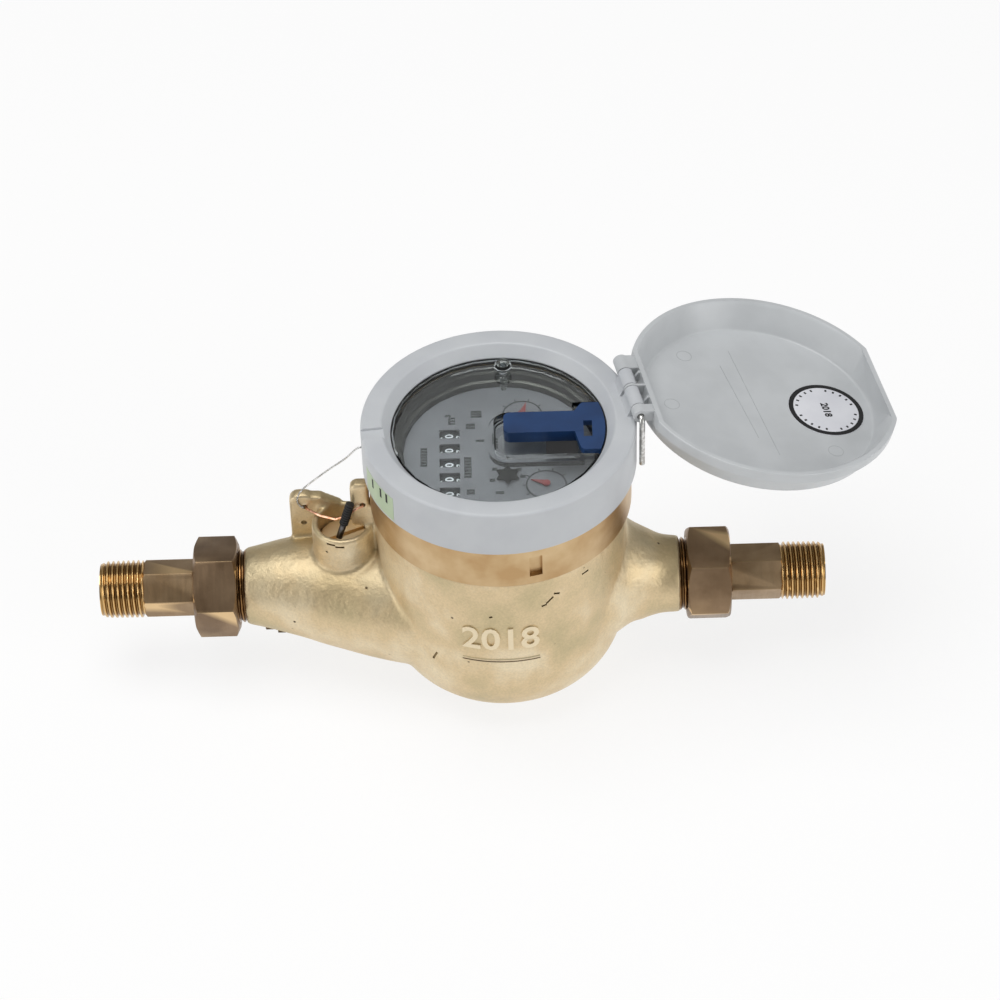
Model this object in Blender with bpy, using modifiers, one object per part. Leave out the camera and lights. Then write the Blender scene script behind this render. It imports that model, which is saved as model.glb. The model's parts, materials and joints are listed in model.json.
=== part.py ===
"""Multi-jet water meter with union tailpieces and a hinged lid, standing open.

Units are metres and +Z is up. The origin is the centre of the body's foot, on
the register's axis. +X points to the outlet, and -Y faces the reader.
"""

import math

import bmesh
import bpy
from mathutils import Matrix, Vector

MM = 0.001

# Fits
GAP = 0.3 * MM                    # between faces that meet
SLIDE = 0.4 * MM                  # round a thread or in a bore
CUT = 1.0 * MM                    # how far a cutter passes a face
WELD = 0.01 * MM

# Resolution of round pieces
STEPS_FINE = 40                   # cap ring and lid
STEPS_BODY = 36
STEPS = 28
STEPS_INNER = 24
STEPS_COARSE = 20
STEPS_SMALL = 14
STEPS_HIDDEN = 10

# Body casting
PIPE_Z = 36.4 * MM
FOOT_RADIUS = 18.0 * MM
BOWL_RADIUS = 43.8 * MM
BOWL_ROUND = 28.4 * MM            # rounding between foot and wall
SHOULDER_RADIUS = BOWL_RADIUS + 0.7 * MM
SHOULDER_Z = 77.7 * MM
NECK_RADIUS = BOWL_RADIUS - 1.2 * MM
NECK_TOP_Z = 100.0 * MM
CAVITY_RADIUS = NECK_RADIUS - 4.2 * MM   # mouth that holds the register
CAVITY_STEP_Z = 80.0 * MM
BOWL_WALL = 3.6 * MM
LEDGE_BOTTOM_Z = 35.0 * MM
LEDGE_TOP_Z = 38.0 * MM
PORT_BORE = 7.5 * MM
PORT_BORE_LENGTH = 16.0 * MM

# Branches, as (x, rise of the middle over the pipe's axis, reach above it, reach below it, half width)
INLET_SECTIONS = (
    (-92.8, 0.0, 13.7, 13.7, 13.7), (-86.0, 0.0, 15.2, 15.4, 15.3), (-80.0, 0.0, 16.4, 17.2, 16.9),
    (-72.0, 0.0, 17.3, 19.9, 19.0), (-66.0, 0.0, 17.8, 22.5, 20.7), (-58.5, 0.0, 18.3, 24.9, 22.9),
    (-48.0, 0.0, 19.4, 27.6, 26.5), (-38.0, 0.0, 21.0, 29.2, 29.6), (-33.0, 0.0, 21.6, 29.0, 31.3),
    (-28.0, 0.0, 22.0, 28.4, 32.4))
OUTLET_SECTIONS = (
    (32.0, 0.0, 28.8, 18.6, 28.0), (38.0, 0.0, 28.2, 18.3, 24.8), (41.0, 0.0, 26.2, 17.5, 22.4),
    (44.0, 0.0, 23.4, 16.2, 19.8), (46.7, 0.0, 21.3, 15.4, 17.9), (49.5, 0.0, 19.4, 15.3, 16.9),
    (52.3, 0.0, 17.9, 14.6, 15.6), (57.0, 0.0, 15.2, 13.9, 14.1), (63.5, 0.0, 13.8, 13.7, 13.7))
# Cored passages inside them: the inlet's leads under the ledge and the outlet's over it
INLET_CORE = (
    (-85.0, 0.0, 7.1, 7.1, 7.1), (-72.0, -0.7, 13.2, 13.6, 13.6), (-58.0, -4.0, 15.5, 15.2, 17.2),
    (-46.0, -9.5, 12.4, 12.4, 19.0), (-34.0, -13.5, 11.5, 11.2, 19.0))
OUTLET_CORE = (
    (34.0, 14.5, 12.2, 12.2, 18.0), (42.0, 8.5, 11.6, 11.6, 16.0), (49.0, 3.0, 10.6, 10.6, 12.0),
    (58.0, 0.0, 7.1, 7.1, 7.1))
INLET_END_X = -99.8 * MM
OUTLET_END_X = 70.3 * MM
PORT_THREAD_RADIUS = 13.2 * MM
PORT_THREAD_ROOT = 12.4 * MM
PORT_THREAD_PITCH = 1.8 * MM
PORT_THREAD_TURNS = 2

# Regulator boss and seal lugs on the inlet branch
BOSS_X = -56.5 * MM
BOSS_RADIUS = 11.2 * MM
BOSS_TOP_Z = 67.5 * MM
BOSS_POCKET_RADIUS = 8.9 * MM
BOSS_FLOOR_Z = 57.5 * MM
BOSS_ROOT_Z = 40.0 * MM
LUG_THICKNESS = 4.6 * MM
LUG_HOLE_RADIUS = 1.1 * MM
OUTER_LUG_X = (-75.7 * MM, -66.8 * MM)
OUTER_LUG_Z = (46.0 * MM, 72.6 * MM)
OUTER_LUG_Y = 10.3 * MM           # its middle, on the far side of the branch's crown
OUTER_LUG_HOLES = ((-70.2 * MM, 67.3 * MM), (-70.9 * MM, 59.6 * MM))
LUG_WEB = ((-68.0, 48.0), (-57.0, 48.0), (-57.0, 67.2), (-64.6, 71.6), (-68.0, 71.6))
INNER_LUG_X = (-53.2 * MM, -41.5 * MM)
INNER_LUG_Z = (66.6 * MM, 86.6 * MM)
INNER_LUG_Y = 0.0
INNER_LUG_HOLE = (-48.9 * MM, 77.2 * MM)
REGULATOR_HEAD_HEIGHT = 3.0 * MM
REGULATOR_SLOT_WIDTH = 1.8 * MM
REGULATOR_SLOT_DEPTH = 1.4 * MM

# Head ring, which screws on the neck and holds the crystal down
HEAD_RADIUS = NECK_RADIUS + 3.6 * MM
HEAD_BOTTOM_Z = SHOULDER_Z + GAP
HEAD_TOP_Z = 108.3 * MM
HEAD_FLANGE = 1.4 * MM
HEAD_MOUTH_RADIUS = HEAD_RADIUS - 8.2 * MM
HEAD_RECESS_WIDTH = 4.6 * MM
HEAD_RECESS_DEPTH = 1.6 * MM
HEAD_RECESS_HEIGHT = 9.0 * MM
HEAD_RECESS_ANGLES = (-75.5, 104.5)

# Register, from the can's floor up
CAN_FLOOR_Z = 82.0 * MM
CAN_WALL = 1.2 * MM
CAN_INNER_RADIUS = CAVITY_RADIUS - 4.4 * MM
CAN_STEP = 1.0 * MM               # each of the two steps towards the mouth
CAN_STEP_Z = (99.2 * MM, 102.4 * MM)
CAN_LIP_TOP_Z = 104.9 * MM
CAN_LIP_WALL = 0.8 * MM
FLANGE_RADIUS = NECK_RADIUS - 1.1 * MM
CAN_FLANGE = 1.5 * MM
GASKET = 1.0 * MM
CRYSTAL_RADIUS = HEAD_MOUTH_RADIUS - 0.7 * MM
CRYSTAL_TOP_Z = 109.3 * MM
CRYSTAL_THICKNESS = 4.1 * MM
SPINDLE_HOLE_RADIUS = 3.0 * MM
DIAL_RADIUS = CAN_INNER_RADIUS - SLIDE
DIAL_TOP_Z = 97.0 * MM
DIAL_THICKNESS = 0.6 * MM

# Pocket in the crystal, and what lies in it
POCKET_LEFT_X = -1.8 * MM
POCKET_SIDES_Y = (-13.0 * MM, 8.9 * MM)
POCKET_CORNER = 5.0 * MM
POCKET_FLOOR_Z = 105.0 * MM
POCKET_WALL = 1.8 * MM
SHELF_X = 27.6 * MM
SHELF_HALF_WIDTH = 13.2 * MM
SHELF_Z = 107.2 * MM
PLUG_TOP_Z = 109.9 * MM
PLUG_BAR_X = (1.7 * MM, 29.0 * MM)
PLUG_BAR_Y = (-2.3 * MM, 8.2 * MM)
PLUG_HEAD_X = 28.4 * MM
PLUG_HEAD_Y = (-11.6 * MM, 12.4 * MM)
PLUG_HEAD_WEB = 2.6 * MM
PLUG_HOLE = (31.0 * MM, -1.0 * MM, 3.0 * MM, 8.0 * MM)
SENSOR_BLOCK = (16.3 * MM, 27.2 * MM, -11.4 * MM, -4.4 * MM)
SENSOR_HEIGHT = 2.0 * MM
CRYSTAL_PIN_XY = (2.0 * MM, 32.5 * MM)
CRYSTAL_PIN_RADIUS = 1.2 * MM
CRYSTAL_PIN_HEAD_RADIUS = 3.1 * MM
CRYSTAL_PIN_HEAD = 1.8 * MM

# Number rollers
ROLLER_X = -17.4 * MM
ROLLER_RADIUS = 6.3 * MM
ROLLER_WIDTH = 6.5 * MM
ROLLER_PITCH = 7.35 * MM
ROLLER_FIRST_Y = 9.6 * MM
ROLLER_COUNT = 5
ROLLER_BELOW_DIAL = 0.5 * MM
ROLLER_SHAFT_RADIUS = 0.9 * MM
WINDOW_X = 7.1 * MM
WINDOW_Y = 4.4 * MM

# Gear train under the dial
MODULE = 1.4 * MM
TOOTH_SHARE = 0.40                # of the pitch taken by a tooth at the pitch circle
GEAR_HEIGHT = 1.5 * MM
LEVEL_Z = (84.8 * MM, 87.1 * MM, 89.4 * MM)
ARBOR_RADIUS = 0.7 * MM
SPINDLE_TEETH = 6
STAR_TEETH = 13
STAR_PINION_TEETH = 8
POINTER_A_TEETH = 12
POINTER_A_PINION_TEETH = 6
IDLER_TEETH = 14
RELAY_TEETH = 6
POINTER_B_TEETH = 8
STAR_ANGLE = -78.2                # directions from one arbor to the next, in degrees
POINTER_A_ANGLE = -18.4
IDLER_ANGLE = 85.5
POINTER_B_LINE_ANGLE = 111.5
STAR_RADIUS = 4.4 * MM
STAR_POINTS = 6
STAR_HEIGHT = 1.0 * MM
POINTER_LENGTH = 5.6 * MM
POINTER_HEIGHT = 0.6 * MM
HAND_Z = 97.5 * MM                # underside of the star and the pointers

# Measuring chamber and impeller
CHAMBER_RADIUS = 29.4 * MM
CHAMBER_WALL = 2.0 * MM
CHAMBER_FLOOR_Z = 13.0 * MM
CHAMBER_TOP_Z = 64.0 * MM
COLLAR_RADIUS = CHAMBER_RADIUS + 3.6 * MM
COLLAR_HEIGHT = 3.0 * MM
JET_COUNT = 6
JET_WIDTH = 4.0 * MM
JET_HEIGHT = 9.0 * MM
JET_SLANT = 35.0
JET_Z = (26.0 * MM, 52.0 * MM)
COVER_THICKNESS = 3.0 * MM
COVER_RING_RADIUS = CHAMBER_RADIUS - 2.4 * MM
COVER_RING_WALL = 2.0 * MM
VANE_COUNT = 7
VANE_RADIUS = CHAMBER_RADIUS - CHAMBER_WALL - 3.9 * MM
VANE_THICKNESS = 1.6 * MM
VANE_Z = (19.0 * MM, 57.0 * MM)
HUB_RADIUS = 4.0 * MM
HUB_TOP_Z = 60.0 * MM
SPINDLE_RADIUS = 1.2 * MM
AXLE_RADIUS = 1.0 * MM
AXLE_LENGTH = 12.0 * MM

# Inlet strainer
STRAINER_RADIUS = 6.9 * MM
STRAINER_WALL = 0.8 * MM
STRAINER_LENGTH = 14.0 * MM
STRAINER_FLANGE_RADIUS = 9.4 * MM
STRAINER_SEAT_DEPTH = 1.6 * MM
STRAINER_SLOTS = 6

# Unions
NUT_ACROSS_FLATS = 31.5 * MM
NUT_LENGTH = 15.6 * MM
NUT_OVERLAP = 4.3 * MM            # how far the nut reaches over the port's thread
NUT_FLANGE = 4.0 * MM
NUT_CHAMFER = 1.3 * MM
NUT_TURNS = (-14.2, 9.8)          # of the hexagons about the pipe, inlet then outlet
TAIL_HEX_TURNS = (-14.2, -4.2)
UNION_GASKET = 2.0 * MM
COLLAR_UNION_RADIUS = 13.0 * MM
TAIL_NECK_RADIUS = 10.35 * MM
TAIL_HEX_ACROSS_FLATS = 17.8 * MM
TAIL_HEX_LENGTH = 18.4 * MM
TAIL_THREAD_LENGTH = 15.4 * MM
TAIL_ROOT_RADIUS = 9.35 * MM
TAIL_BORE = 7.0 * MM

# Cap ring
CAP_RISE = 5.5 * MM                # of its flat over the head ring
CAP_HEIGHT = 18.3 * MM
CAP_LIP = 1.0 * MM                 # thickness at the mouth
CAP_CEILING = 1.9 * MM
CAP_TOP_Z = HEAD_TOP_Z + CAP_RISE
CAP_BOTTOM_Z = CAP_TOP_Z - CAP_HEIGHT
CAP_WALL = 1.5 * MM
CAP_RADIUS = HEAD_RADIUS + GAP + CAP_WALL
CAP_ROLL = 0.9 * MM
CAP_MOUTH_RADIUS = HEAD_MOUTH_RADIUS - GAP
CAP_FLAT_INNER_RADIUS = CAP_MOUTH_RADIUS + 3.0 * MM
CAP_MOUTH_Z = HEAD_TOP_Z + GAP + CAP_LIP
CAP_GROOVE_ANGLE = 186.0
CAP_GROOVE_WIDTH = 5.0 * MM
CAP_GROOVE_DEPTH = 1.0 * MM

# Lid and hinge; the lid's own numbers are those of the closed lid
HINGE_ANGLE = 11.4                # azimuth of the hinge's middle, seen from the register axis
HINGE_RADIUS = CAP_RADIUS - 0.4 * MM
HINGE_Z = CAP_TOP_Z + 3.1 * MM
LID_OPEN_ANGLE = 191.3
LID_OFFSET = -0.8 * MM            # of the lid's centre from the register axis, along the hinge radius
LID_RADIUS = CAP_RADIUS
LID_FLAT = HINGE_RADIUS - 3.75 * MM
LID_RIM_Z = CAP_TOP_Z + GAP
LID_HEIGHT = 11.8 * MM
LID_WALL = 1.7 * MM
LID_STEP_HEIGHT = 4.2 * MM
LID_STEP = 1.2 * MM
LID_TOP_RADIUS = LID_RADIUS - 4.8 * MM
BARREL_RADIUS = 2.6 * MM
PIN_RADIUS = 1.0 * MM
KNUCKLES = ((1.9 * MM, 9.7 * MM), (-8.9 * MM, 0.3 * MM))
LID_SLEEVES = ((10.1 * MM, 17.0 * MM), (0.6 * MM, 1.6 * MM), (-13.2 * MM, -9.2 * MM))
LID_RIBS = (7.9 * MM, -5.4 * MM)
RIB_THICKNESS = 1.1 * MM
KNUCKLE_FOOT = 4.2 * MM           # how far a knuckle's foot runs in over the ring
PIN_TAIL_Z = CAP_BOTTOM_Z + 1.0 * MM
PIN_BEND = 1.9 * MM

# Seal wires
SEAL_WIRE_RADIUS = 0.35 * MM
COPPER_WIRE_RADIUS = 0.45 * MM
CRIMP_RADIUS = 1.6 * MM
SKIRT_HOLE_Z = CAP_BOTTOM_Z + 7.5 * MM
SKIRT_HOLE_RADIUS = 0.9 * MM
# The seal's and the copper wire's free points, and the crimp's ends, in mm
SEAL_POINTS = ((-54.1, 1.2, 96.7), (-60.5, 2.5, 90.2), (-67.4, 5.3, 81.5), (-70.6, 6.9, 76.7),
               (-72.3, 7.4, 73.1), (-72.6, 7.4, 70.4))
COPPER_POINTS = ((-67.8, 4.4, 68.6), (-64.0, 1.5, 68.7), (-59.0, -0.3, 68.7), (-54.5, -2.8, 72.9),
                 (-51.1, -3.7, 76.8))
CRIMP_ENDS = ((-53.1, -4.2, 79.8), (-57.8, -6.1, 65.2))


def clear_scene():
    """Removes every object of the open file."""
    for item in list(bpy.data.objects):
        bpy.data.objects.remove(item, do_unlink=True)


def new_collection(name):
    """Makes a collection in the scene."""
    found = bpy.data.collections.new(name)
    bpy.context.scene.collection.children.link(found)
    return found


clear_scene()
METER = new_collection("water_meter")
CUTTERS = new_collection("water_meter_cutters")


def finish(name, colour, roughness, metallic):
    """Makes a plain Principled material."""
    material = bpy.data.materials.new(name)
    material.use_nodes = True
    shader = material.node_tree.nodes["Principled BSDF"]
    shader.inputs["Base Color"].default_value = (*colour, 1.0)
    shader.inputs["Roughness"].default_value = roughness
    shader.inputs["Metallic"].default_value = metallic
    return material


CAST_BRASS = finish("cast_brass", (0.52, 0.42, 0.24), 0.45, 1.0)
TURNED_BRASS = finish("turned_brass", (0.66, 0.43, 0.20), 0.3, 1.0)
BRONZE = finish("bronze", (0.36, 0.24, 0.14), 0.4, 1.0)
GREY_PLASTIC = finish("grey_plastic", (0.55, 0.60, 0.62), 0.45, 0.0)
CLEAR = finish("clear_plastic", (0.85, 0.88, 0.88), 0.05, 0.0)
BLACK_RUBBER = finish("black_rubber", (0.03, 0.03, 0.03), 0.7, 0.0)
DARK_METAL = finish("dark_metal", (0.20, 0.19, 0.17), 0.3, 1.0)
WHITE_PLASTIC = finish("white_plastic", (0.62, 0.63, 0.65), 0.5, 0.0)
BLUE_PLASTIC = finish("blue_plastic", (0.03, 0.12, 0.32), 0.4, 0.0)
RED_PLASTIC = finish("red_plastic", (0.45, 0.03, 0.03), 0.4, 0.0)
STEEL = finish("steel", (0.60, 0.60, 0.60), 0.3, 1.0)
COPPER = finish("copper", (0.72, 0.38, 0.25), 0.3, 1.0)


def place(item, collection, material=None):
    """Links an object and gives it its material."""
    for user in list(item.users_collection):
        user.objects.unlink(item)
    collection.objects.link(item)
    if material is not None:
        item.data.materials.clear()
        item.data.materials.append(material)
    return item


def as_tool(item):
    """Makes an object a hidden tool for a Boolean."""
    place(item, CUTTERS)
    item.hide_render = True
    item.display_type = "WIRE"
    return item


def boolean(target, tool, operation):
    """Adds a Boolean with a hidden tool. The casting has so many cuts that only MANIFOLD keeps it closed."""
    as_tool(tool)
    step = target.modifiers.new(operation.lower(), "BOOLEAN")
    step.operation = operation
    step.solver = "MANIFOLD" if target.name == "body_casting" else "EXACT"
    step.object = tool
    return target


def weld(item):
    """Closes the hair-thin edges that a row of Booleans leaves."""
    step = item.modifiers.new("weld", "WELD")
    step.merge_threshold = WELD


def cut(target, *tools):
    """Takes tools away from a target."""
    for tool in tools:
        boolean(target, tool, "DIFFERENCE")
    return target


def join(target, *tools):
    """Adds tools to a target as one body."""
    for tool in tools:
        boolean(target, tool, "UNION")
    return target


def smooth(item, angle=35.0):
    """Shades a round piece smooth, with its edges kept."""
    item.data.shade_smooth()
    item.data.set_sharp_from_angle(angle=math.radians(angle))


def turned(name, profile, steps=STEPS, closed=False):
    """Turns a profile of (radius, height) about Z. It runs down the outer side."""
    mesh = bpy.data.meshes.new(name)
    points = [(radius, 0.0, height) for radius, height in profile]
    edges = [(i, i + 1) for i in range(len(points) - 1)]
    if closed:
        edges.append((len(points) - 1, 0))
    mesh.from_pydata(points, edges, [])
    item = bpy.data.objects.new(name, mesh)
    METER.objects.link(item)
    screw = item.modifiers.new("turn", "SCREW")
    screw.steps = steps
    screw.render_steps = steps
    screw.use_merge_vertices = True
    screw.merge_threshold = 0.00001
    screw.use_smooth_shade = False
    return item


def tube(name, outer, inner, bottom, top, steps=STEPS):
    """Turns a plain tube."""
    return turned(name, [(outer, top), (outer, bottom), (inner, bottom), (inner, top)], steps, True)


def rod(name, radius, bottom, top, steps=STEPS_SMALL, xy=(0.0, 0.0)):
    """Adds an upright cylinder."""
    bpy.ops.mesh.primitive_cylinder_add(
        vertices=steps, radius=radius, depth=top - bottom, location=(*xy, (top + bottom) / 2))
    item = bpy.context.object
    item.name = name
    return place(item, METER)


def block(name, low, high):
    """Adds a box between two corners."""
    centre = [(a + b) / 2 for a, b in zip(low, high)]
    bpy.ops.mesh.primitive_cube_add(size=1.0, location=centre)
    item = bpy.context.object
    item.name = name
    item.scale = [b - a for a, b in zip(low, high)]
    bpy.ops.object.transform_apply(location=False, rotation=False, scale=True)
    return place(item, METER)


def lay_along_pipe(item, sign):
    """Turns a piece that was made about Z so that it points to a port. sign is -1 at the inlet."""
    item.rotation_euler = (0.0, sign * math.pi / 2, 0.0)
    item.location = (0.0, 0.0, PIPE_Z)
    return item


def curve_mesh(curve):
    """Turns a curve object into a mesh with welded caps."""
    bpy.context.view_layer.update()
    graph = bpy.context.evaluated_depsgraph_get()
    mesh = bpy.data.meshes.new_from_object(curve.evaluated_get(graph))
    work = bmesh.new()
    work.from_mesh(mesh)
    bmesh.ops.remove_doubles(work, verts=work.verts, dist=0.000005)
    bmesh.ops.recalc_face_normals(work, faces=work.faces)
    work.to_mesh(mesh)
    work.free()
    item = bpy.data.objects.new(curve.name + "_mesh", mesh)
    item.matrix_world = curve.matrix_world
    METER.objects.link(item)
    name = curve.name
    bpy.data.objects.remove(curve, do_unlink=True)
    item.name = name
    return item


def plate(name, outline, bottom, top):
    """Extrudes a flat outline between two heights."""
    data = bpy.data.curves.new(name, "CURVE")
    data.dimensions = "2D"
    data.fill_mode = "BOTH"
    data.extrude = (top - bottom) / 2
    line = data.splines.new("POLY")
    line.points.add(len(outline) - 1)
    for point, (x, y) in zip(line.points, outline):
        point.co = (x, y, 0.0, 1.0)
    line.use_cyclic_u = True
    item = bpy.data.objects.new(name, data)
    METER.objects.link(item)
    item.location = (0.0, 0.0, (top + bottom) / 2)
    return curve_mesh(item)


def wire(name, points, radius, bevel_resolution=2):
    """Bends a round wire through points."""
    data = bpy.data.curves.new(name, "CURVE")
    data.dimensions = "3D"
    data.bevel_depth = radius
    data.bevel_resolution = bevel_resolution
    data.use_fill_caps = True
    line = data.splines.new("POLY")
    line.points.add(len(points) - 1)
    for point, place_xyz in zip(line.points, points):
        point.co = (*place_xyz, 1.0)
    item = bpy.data.objects.new(name, data)
    METER.objects.link(item)
    return item


def arc(centre_x, centre_y, radius, start, end, count):
    """Points on an arc, angles in degrees."""
    points = []
    for i in range(count + 1):
        angle = math.radians(start + (end - start) * i / count)
        points.append((centre_x + radius * math.cos(angle), centre_y + radius * math.sin(angle)))
    return points


def polar(angle, radius):
    """Plan position at an azimuth in degrees."""
    return radius * math.cos(math.radians(angle)), radius * math.sin(math.radians(angle))


def loft(name, sections, steps=STEPS_COARSE):
    """Skins oval sections along X, each with its own reach above and below the axis."""
    work = bmesh.new()
    rings = []
    for x, rise, above, below, half_width in sections:
        ring = []
        for i in range(steps):
            angle = 2 * math.pi * i / steps
            reach = above if math.sin(angle) > 0 else below
            height = PIPE_Z + (rise + reach * math.sin(angle)) * MM
            ring.append(work.verts.new((x * MM, half_width * MM * math.cos(angle), height)))
        rings.append(ring)
    for first, second in zip(rings, rings[1:]):
        for i in range(steps):
            j = (i + 1) % steps
            work.faces.new((first[i], first[j], second[j], second[i]))
    work.faces.new(rings[0])
    work.faces.new(rings[-1])
    bmesh.ops.recalc_face_normals(work, faces=work.faces)
    mesh = bpy.data.meshes.new(name)
    work.to_mesh(mesh)
    work.free()
    item = bpy.data.objects.new(name, mesh)
    METER.objects.link(item)
    return item


def bowl_profile():
    """Outer profile of the bowl, from the neck's top down to the foot's centre."""
    centre = BOWL_RADIUS - BOWL_ROUND
    first = math.degrees(math.acos((FOOT_RADIUS - centre) / BOWL_ROUND))
    rounding = arc(centre, BOWL_ROUND, BOWL_ROUND, 0.0, -first, 6)
    return [(0.0, NECK_TOP_Z), (NECK_RADIUS, NECK_TOP_Z), (NECK_RADIUS, SHOULDER_Z),
            (SHOULDER_RADIUS, SHOULDER_Z), (SHOULDER_RADIUS, SHOULDER_Z - 14 * MM),
            *rounding, (FOOT_RADIUS, 0.0), (0.0, 0.0)]


def cavity_profile():
    """Profile of the hollow, with the ledge that carries the measuring chamber."""
    ledge = CHAMBER_RADIUS + SLIDE
    wall = BOWL_RADIUS - BOWL_WALL
    rounding = arc(BOWL_RADIUS - BOWL_ROUND, BOWL_ROUND, BOWL_ROUND - BOWL_WALL, 0.0, -90.0, 5)
    return [(0.0, NECK_TOP_Z + CUT), (CAVITY_RADIUS, NECK_TOP_Z + CUT), (CAVITY_RADIUS, CAVITY_STEP_Z),
            (wall, CAVITY_STEP_Z - 2.4 * MM), (wall, LEDGE_TOP_Z), (ledge, LEDGE_TOP_Z),
            (ledge, LEDGE_BOTTOM_Z), (wall, LEDGE_BOTTOM_Z - 1.5 * MM), *rounding, (0.0, rounding[-1][1])]


def threaded_spigot(name, end_x, sign):
    """Port spigot, with the turns of its thread that stay in view behind the nut."""
    end = abs(end_x)
    height = end - NUT_OVERLAP + 0.2 * MM
    profile = [(0.0, end), (PORT_THREAD_ROOT, end), (PORT_THREAD_RADIUS, end - 0.8 * MM),
               (PORT_THREAD_RADIUS, height)]
    for _ in range(PORT_THREAD_TURNS):
        profile.append((PORT_THREAD_ROOT, height - PORT_THREAD_PITCH / 2))
        height -= PORT_THREAD_PITCH
        profile.append((PORT_THREAD_RADIUS, height))
    profile += [(PORT_THREAD_ROOT, height - 0.4 * MM), (0.0, height - 0.4 * MM)]
    return lay_along_pipe(turned(name, profile, STEPS_COARSE), sign)


def port_bore(name, end_x, sign, seat_radius, seat_depth):
    """Straight bore of a port, with a seat at its mouth."""
    far = abs(end_x)
    profile = [(0.0, far + CUT), (seat_radius, far + CUT), (seat_radius, far - seat_depth),
               (PORT_BORE, far - seat_depth), (PORT_BORE, far - PORT_BORE_LENGTH),
               (0.0, far - PORT_BORE_LENGTH)]
    return lay_along_pipe(turned(name, profile, STEPS_SMALL), sign)


def lug(name, x_range, z_range, y, round_radius):
    """Upright seal lug with a rounded top, standing across Y."""
    width = x_range[1] - x_range[0]
    outline = [(x_range[0], z_range[0]), (x_range[1], z_range[0])]
    outline += arc(x_range[1] - round_radius, z_range[1] - round_radius, round_radius, 0.0, 90.0, 4)
    left = min(round_radius, width - round_radius)
    outline += arc(x_range[0] + left, z_range[1] - left, left, 90.0, 180.0, 4)
    return upright(name, outline, y)


def upright(name, outline, y, thickness=LUG_THICKNESS):
    """Upright plate from an outline in X and Z."""
    item = plate(name, outline, -thickness / 2, thickness / 2)
    item.rotation_euler = (math.pi / 2, 0.0, 0.0)
    item.location = (0.0, y, 0.0)
    return item


def cross_hole(name, x, y, z, radius):
    """Bore along Y through a lug."""
    item = rod(name, radius, -LUG_THICKNESS, LUG_THICKNESS, STEPS_HIDDEN)
    item.rotation_euler = (math.pi / 2, 0.0, 0.0)
    item.location = (x, y, z)
    return item


def build_body():
    """The casting: bowl, branches, ports, regulator boss and seal lugs."""
    body = turned("body_casting", bowl_profile(), STEPS_BODY)
    join(body, loft("inlet_branch", INLET_SECTIONS), loft("outlet_branch", OUTLET_SECTIONS))
    join(body, threaded_spigot("inlet_spigot", INLET_END_X, -1),
         threaded_spigot("outlet_spigot", OUTLET_END_X, 1))
    boss = turned("regulator_boss", [
        (0.0, BOSS_TOP_Z), (BOSS_RADIUS - 0.6 * MM, BOSS_TOP_Z), (BOSS_RADIUS, BOSS_TOP_Z - 0.6 * MM),
        (BOSS_RADIUS, BOSS_ROOT_Z), (0.0, BOSS_ROOT_Z)], STEPS_COARSE)
    boss.location = (BOSS_X, 0.0, 0.0)
    join(body, boss)
    join(body, lug("outer_lug", OUTER_LUG_X, OUTER_LUG_Z, OUTER_LUG_Y, 3.4 * MM),
         upright("lug_web", [(x * MM, z * MM) for x, z in LUG_WEB], OUTER_LUG_Y))
    pocket = rod("boss_pocket", BOSS_POCKET_RADIUS, BOSS_FLOOR_Z, BOSS_TOP_Z + 20 * MM, STEPS_COARSE,
                 (BOSS_X, 0.0))
    cut(body, pocket)
    inner_lug = lug("inner_lug", INNER_LUG_X, INNER_LUG_Z, INNER_LUG_Y, 2.4 * MM)
    cut(inner_lug, rod("head_room", HEAD_RADIUS + GAP, SHOULDER_Z - 1.0 * MM, NECK_TOP_Z, STEPS_BODY))
    join(body, inner_lug)
    cut(body, port_bore("inlet_bore", INLET_END_X, -1, STRAINER_FLANGE_RADIUS + GAP, STRAINER_SEAT_DEPTH))
    cut(body, port_bore("outlet_bore", OUTLET_END_X, 1, PORT_BORE + 0.8 * MM, 0.8 * MM))
    cut(body, loft("inlet_core", INLET_CORE, STEPS_SMALL), loft("outlet_core", OUTLET_CORE, STEPS_SMALL))
    holes = [(x, OUTER_LUG_Y, z) for x, z in OUTER_LUG_HOLES]
    holes.append((INNER_LUG_HOLE[0], INNER_LUG_Y, INNER_LUG_HOLE[1]))
    for number, (x, y, z) in enumerate(holes):
        cut(body, cross_hole(f"lug_hole_{number}", x, y, z, LUG_HOLE_RADIUS))
    cut(body, turned("body_hollow", cavity_profile(), STEPS_BODY))
    weld(body)
    place(body, METER, CAST_BRASS)


def build_regulator():
    """Slotted screw at the foot of the boss pocket."""
    bottom = BOSS_FLOOR_Z + GAP
    top = bottom + REGULATOR_HEAD_HEIGHT
    radius = BOSS_POCKET_RADIUS - GAP
    screw = turned("regulator_screw", [
        (0.0, top), (radius - 0.5 * MM, top), (radius, top - 0.5 * MM), (radius, bottom), (0.0, bottom)],
        STEPS_SMALL)
    slot = block("regulator_slot", (-BOSS_RADIUS, -REGULATOR_SLOT_WIDTH / 2, top - REGULATOR_SLOT_DEPTH),
                 (BOSS_RADIUS, REGULATOR_SLOT_WIDTH / 2, top + CUT))
    slot.rotation_euler = (0.0, 0.0, math.radians(25.0))
    slot.location = (0.0, 0.0, slot.location.z)
    cut(screw, slot)
    screw.location = (BOSS_X, 0.0, 0.0)
    slot.location.x = BOSS_X
    place(screw, METER, TURNED_BRASS)


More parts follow.
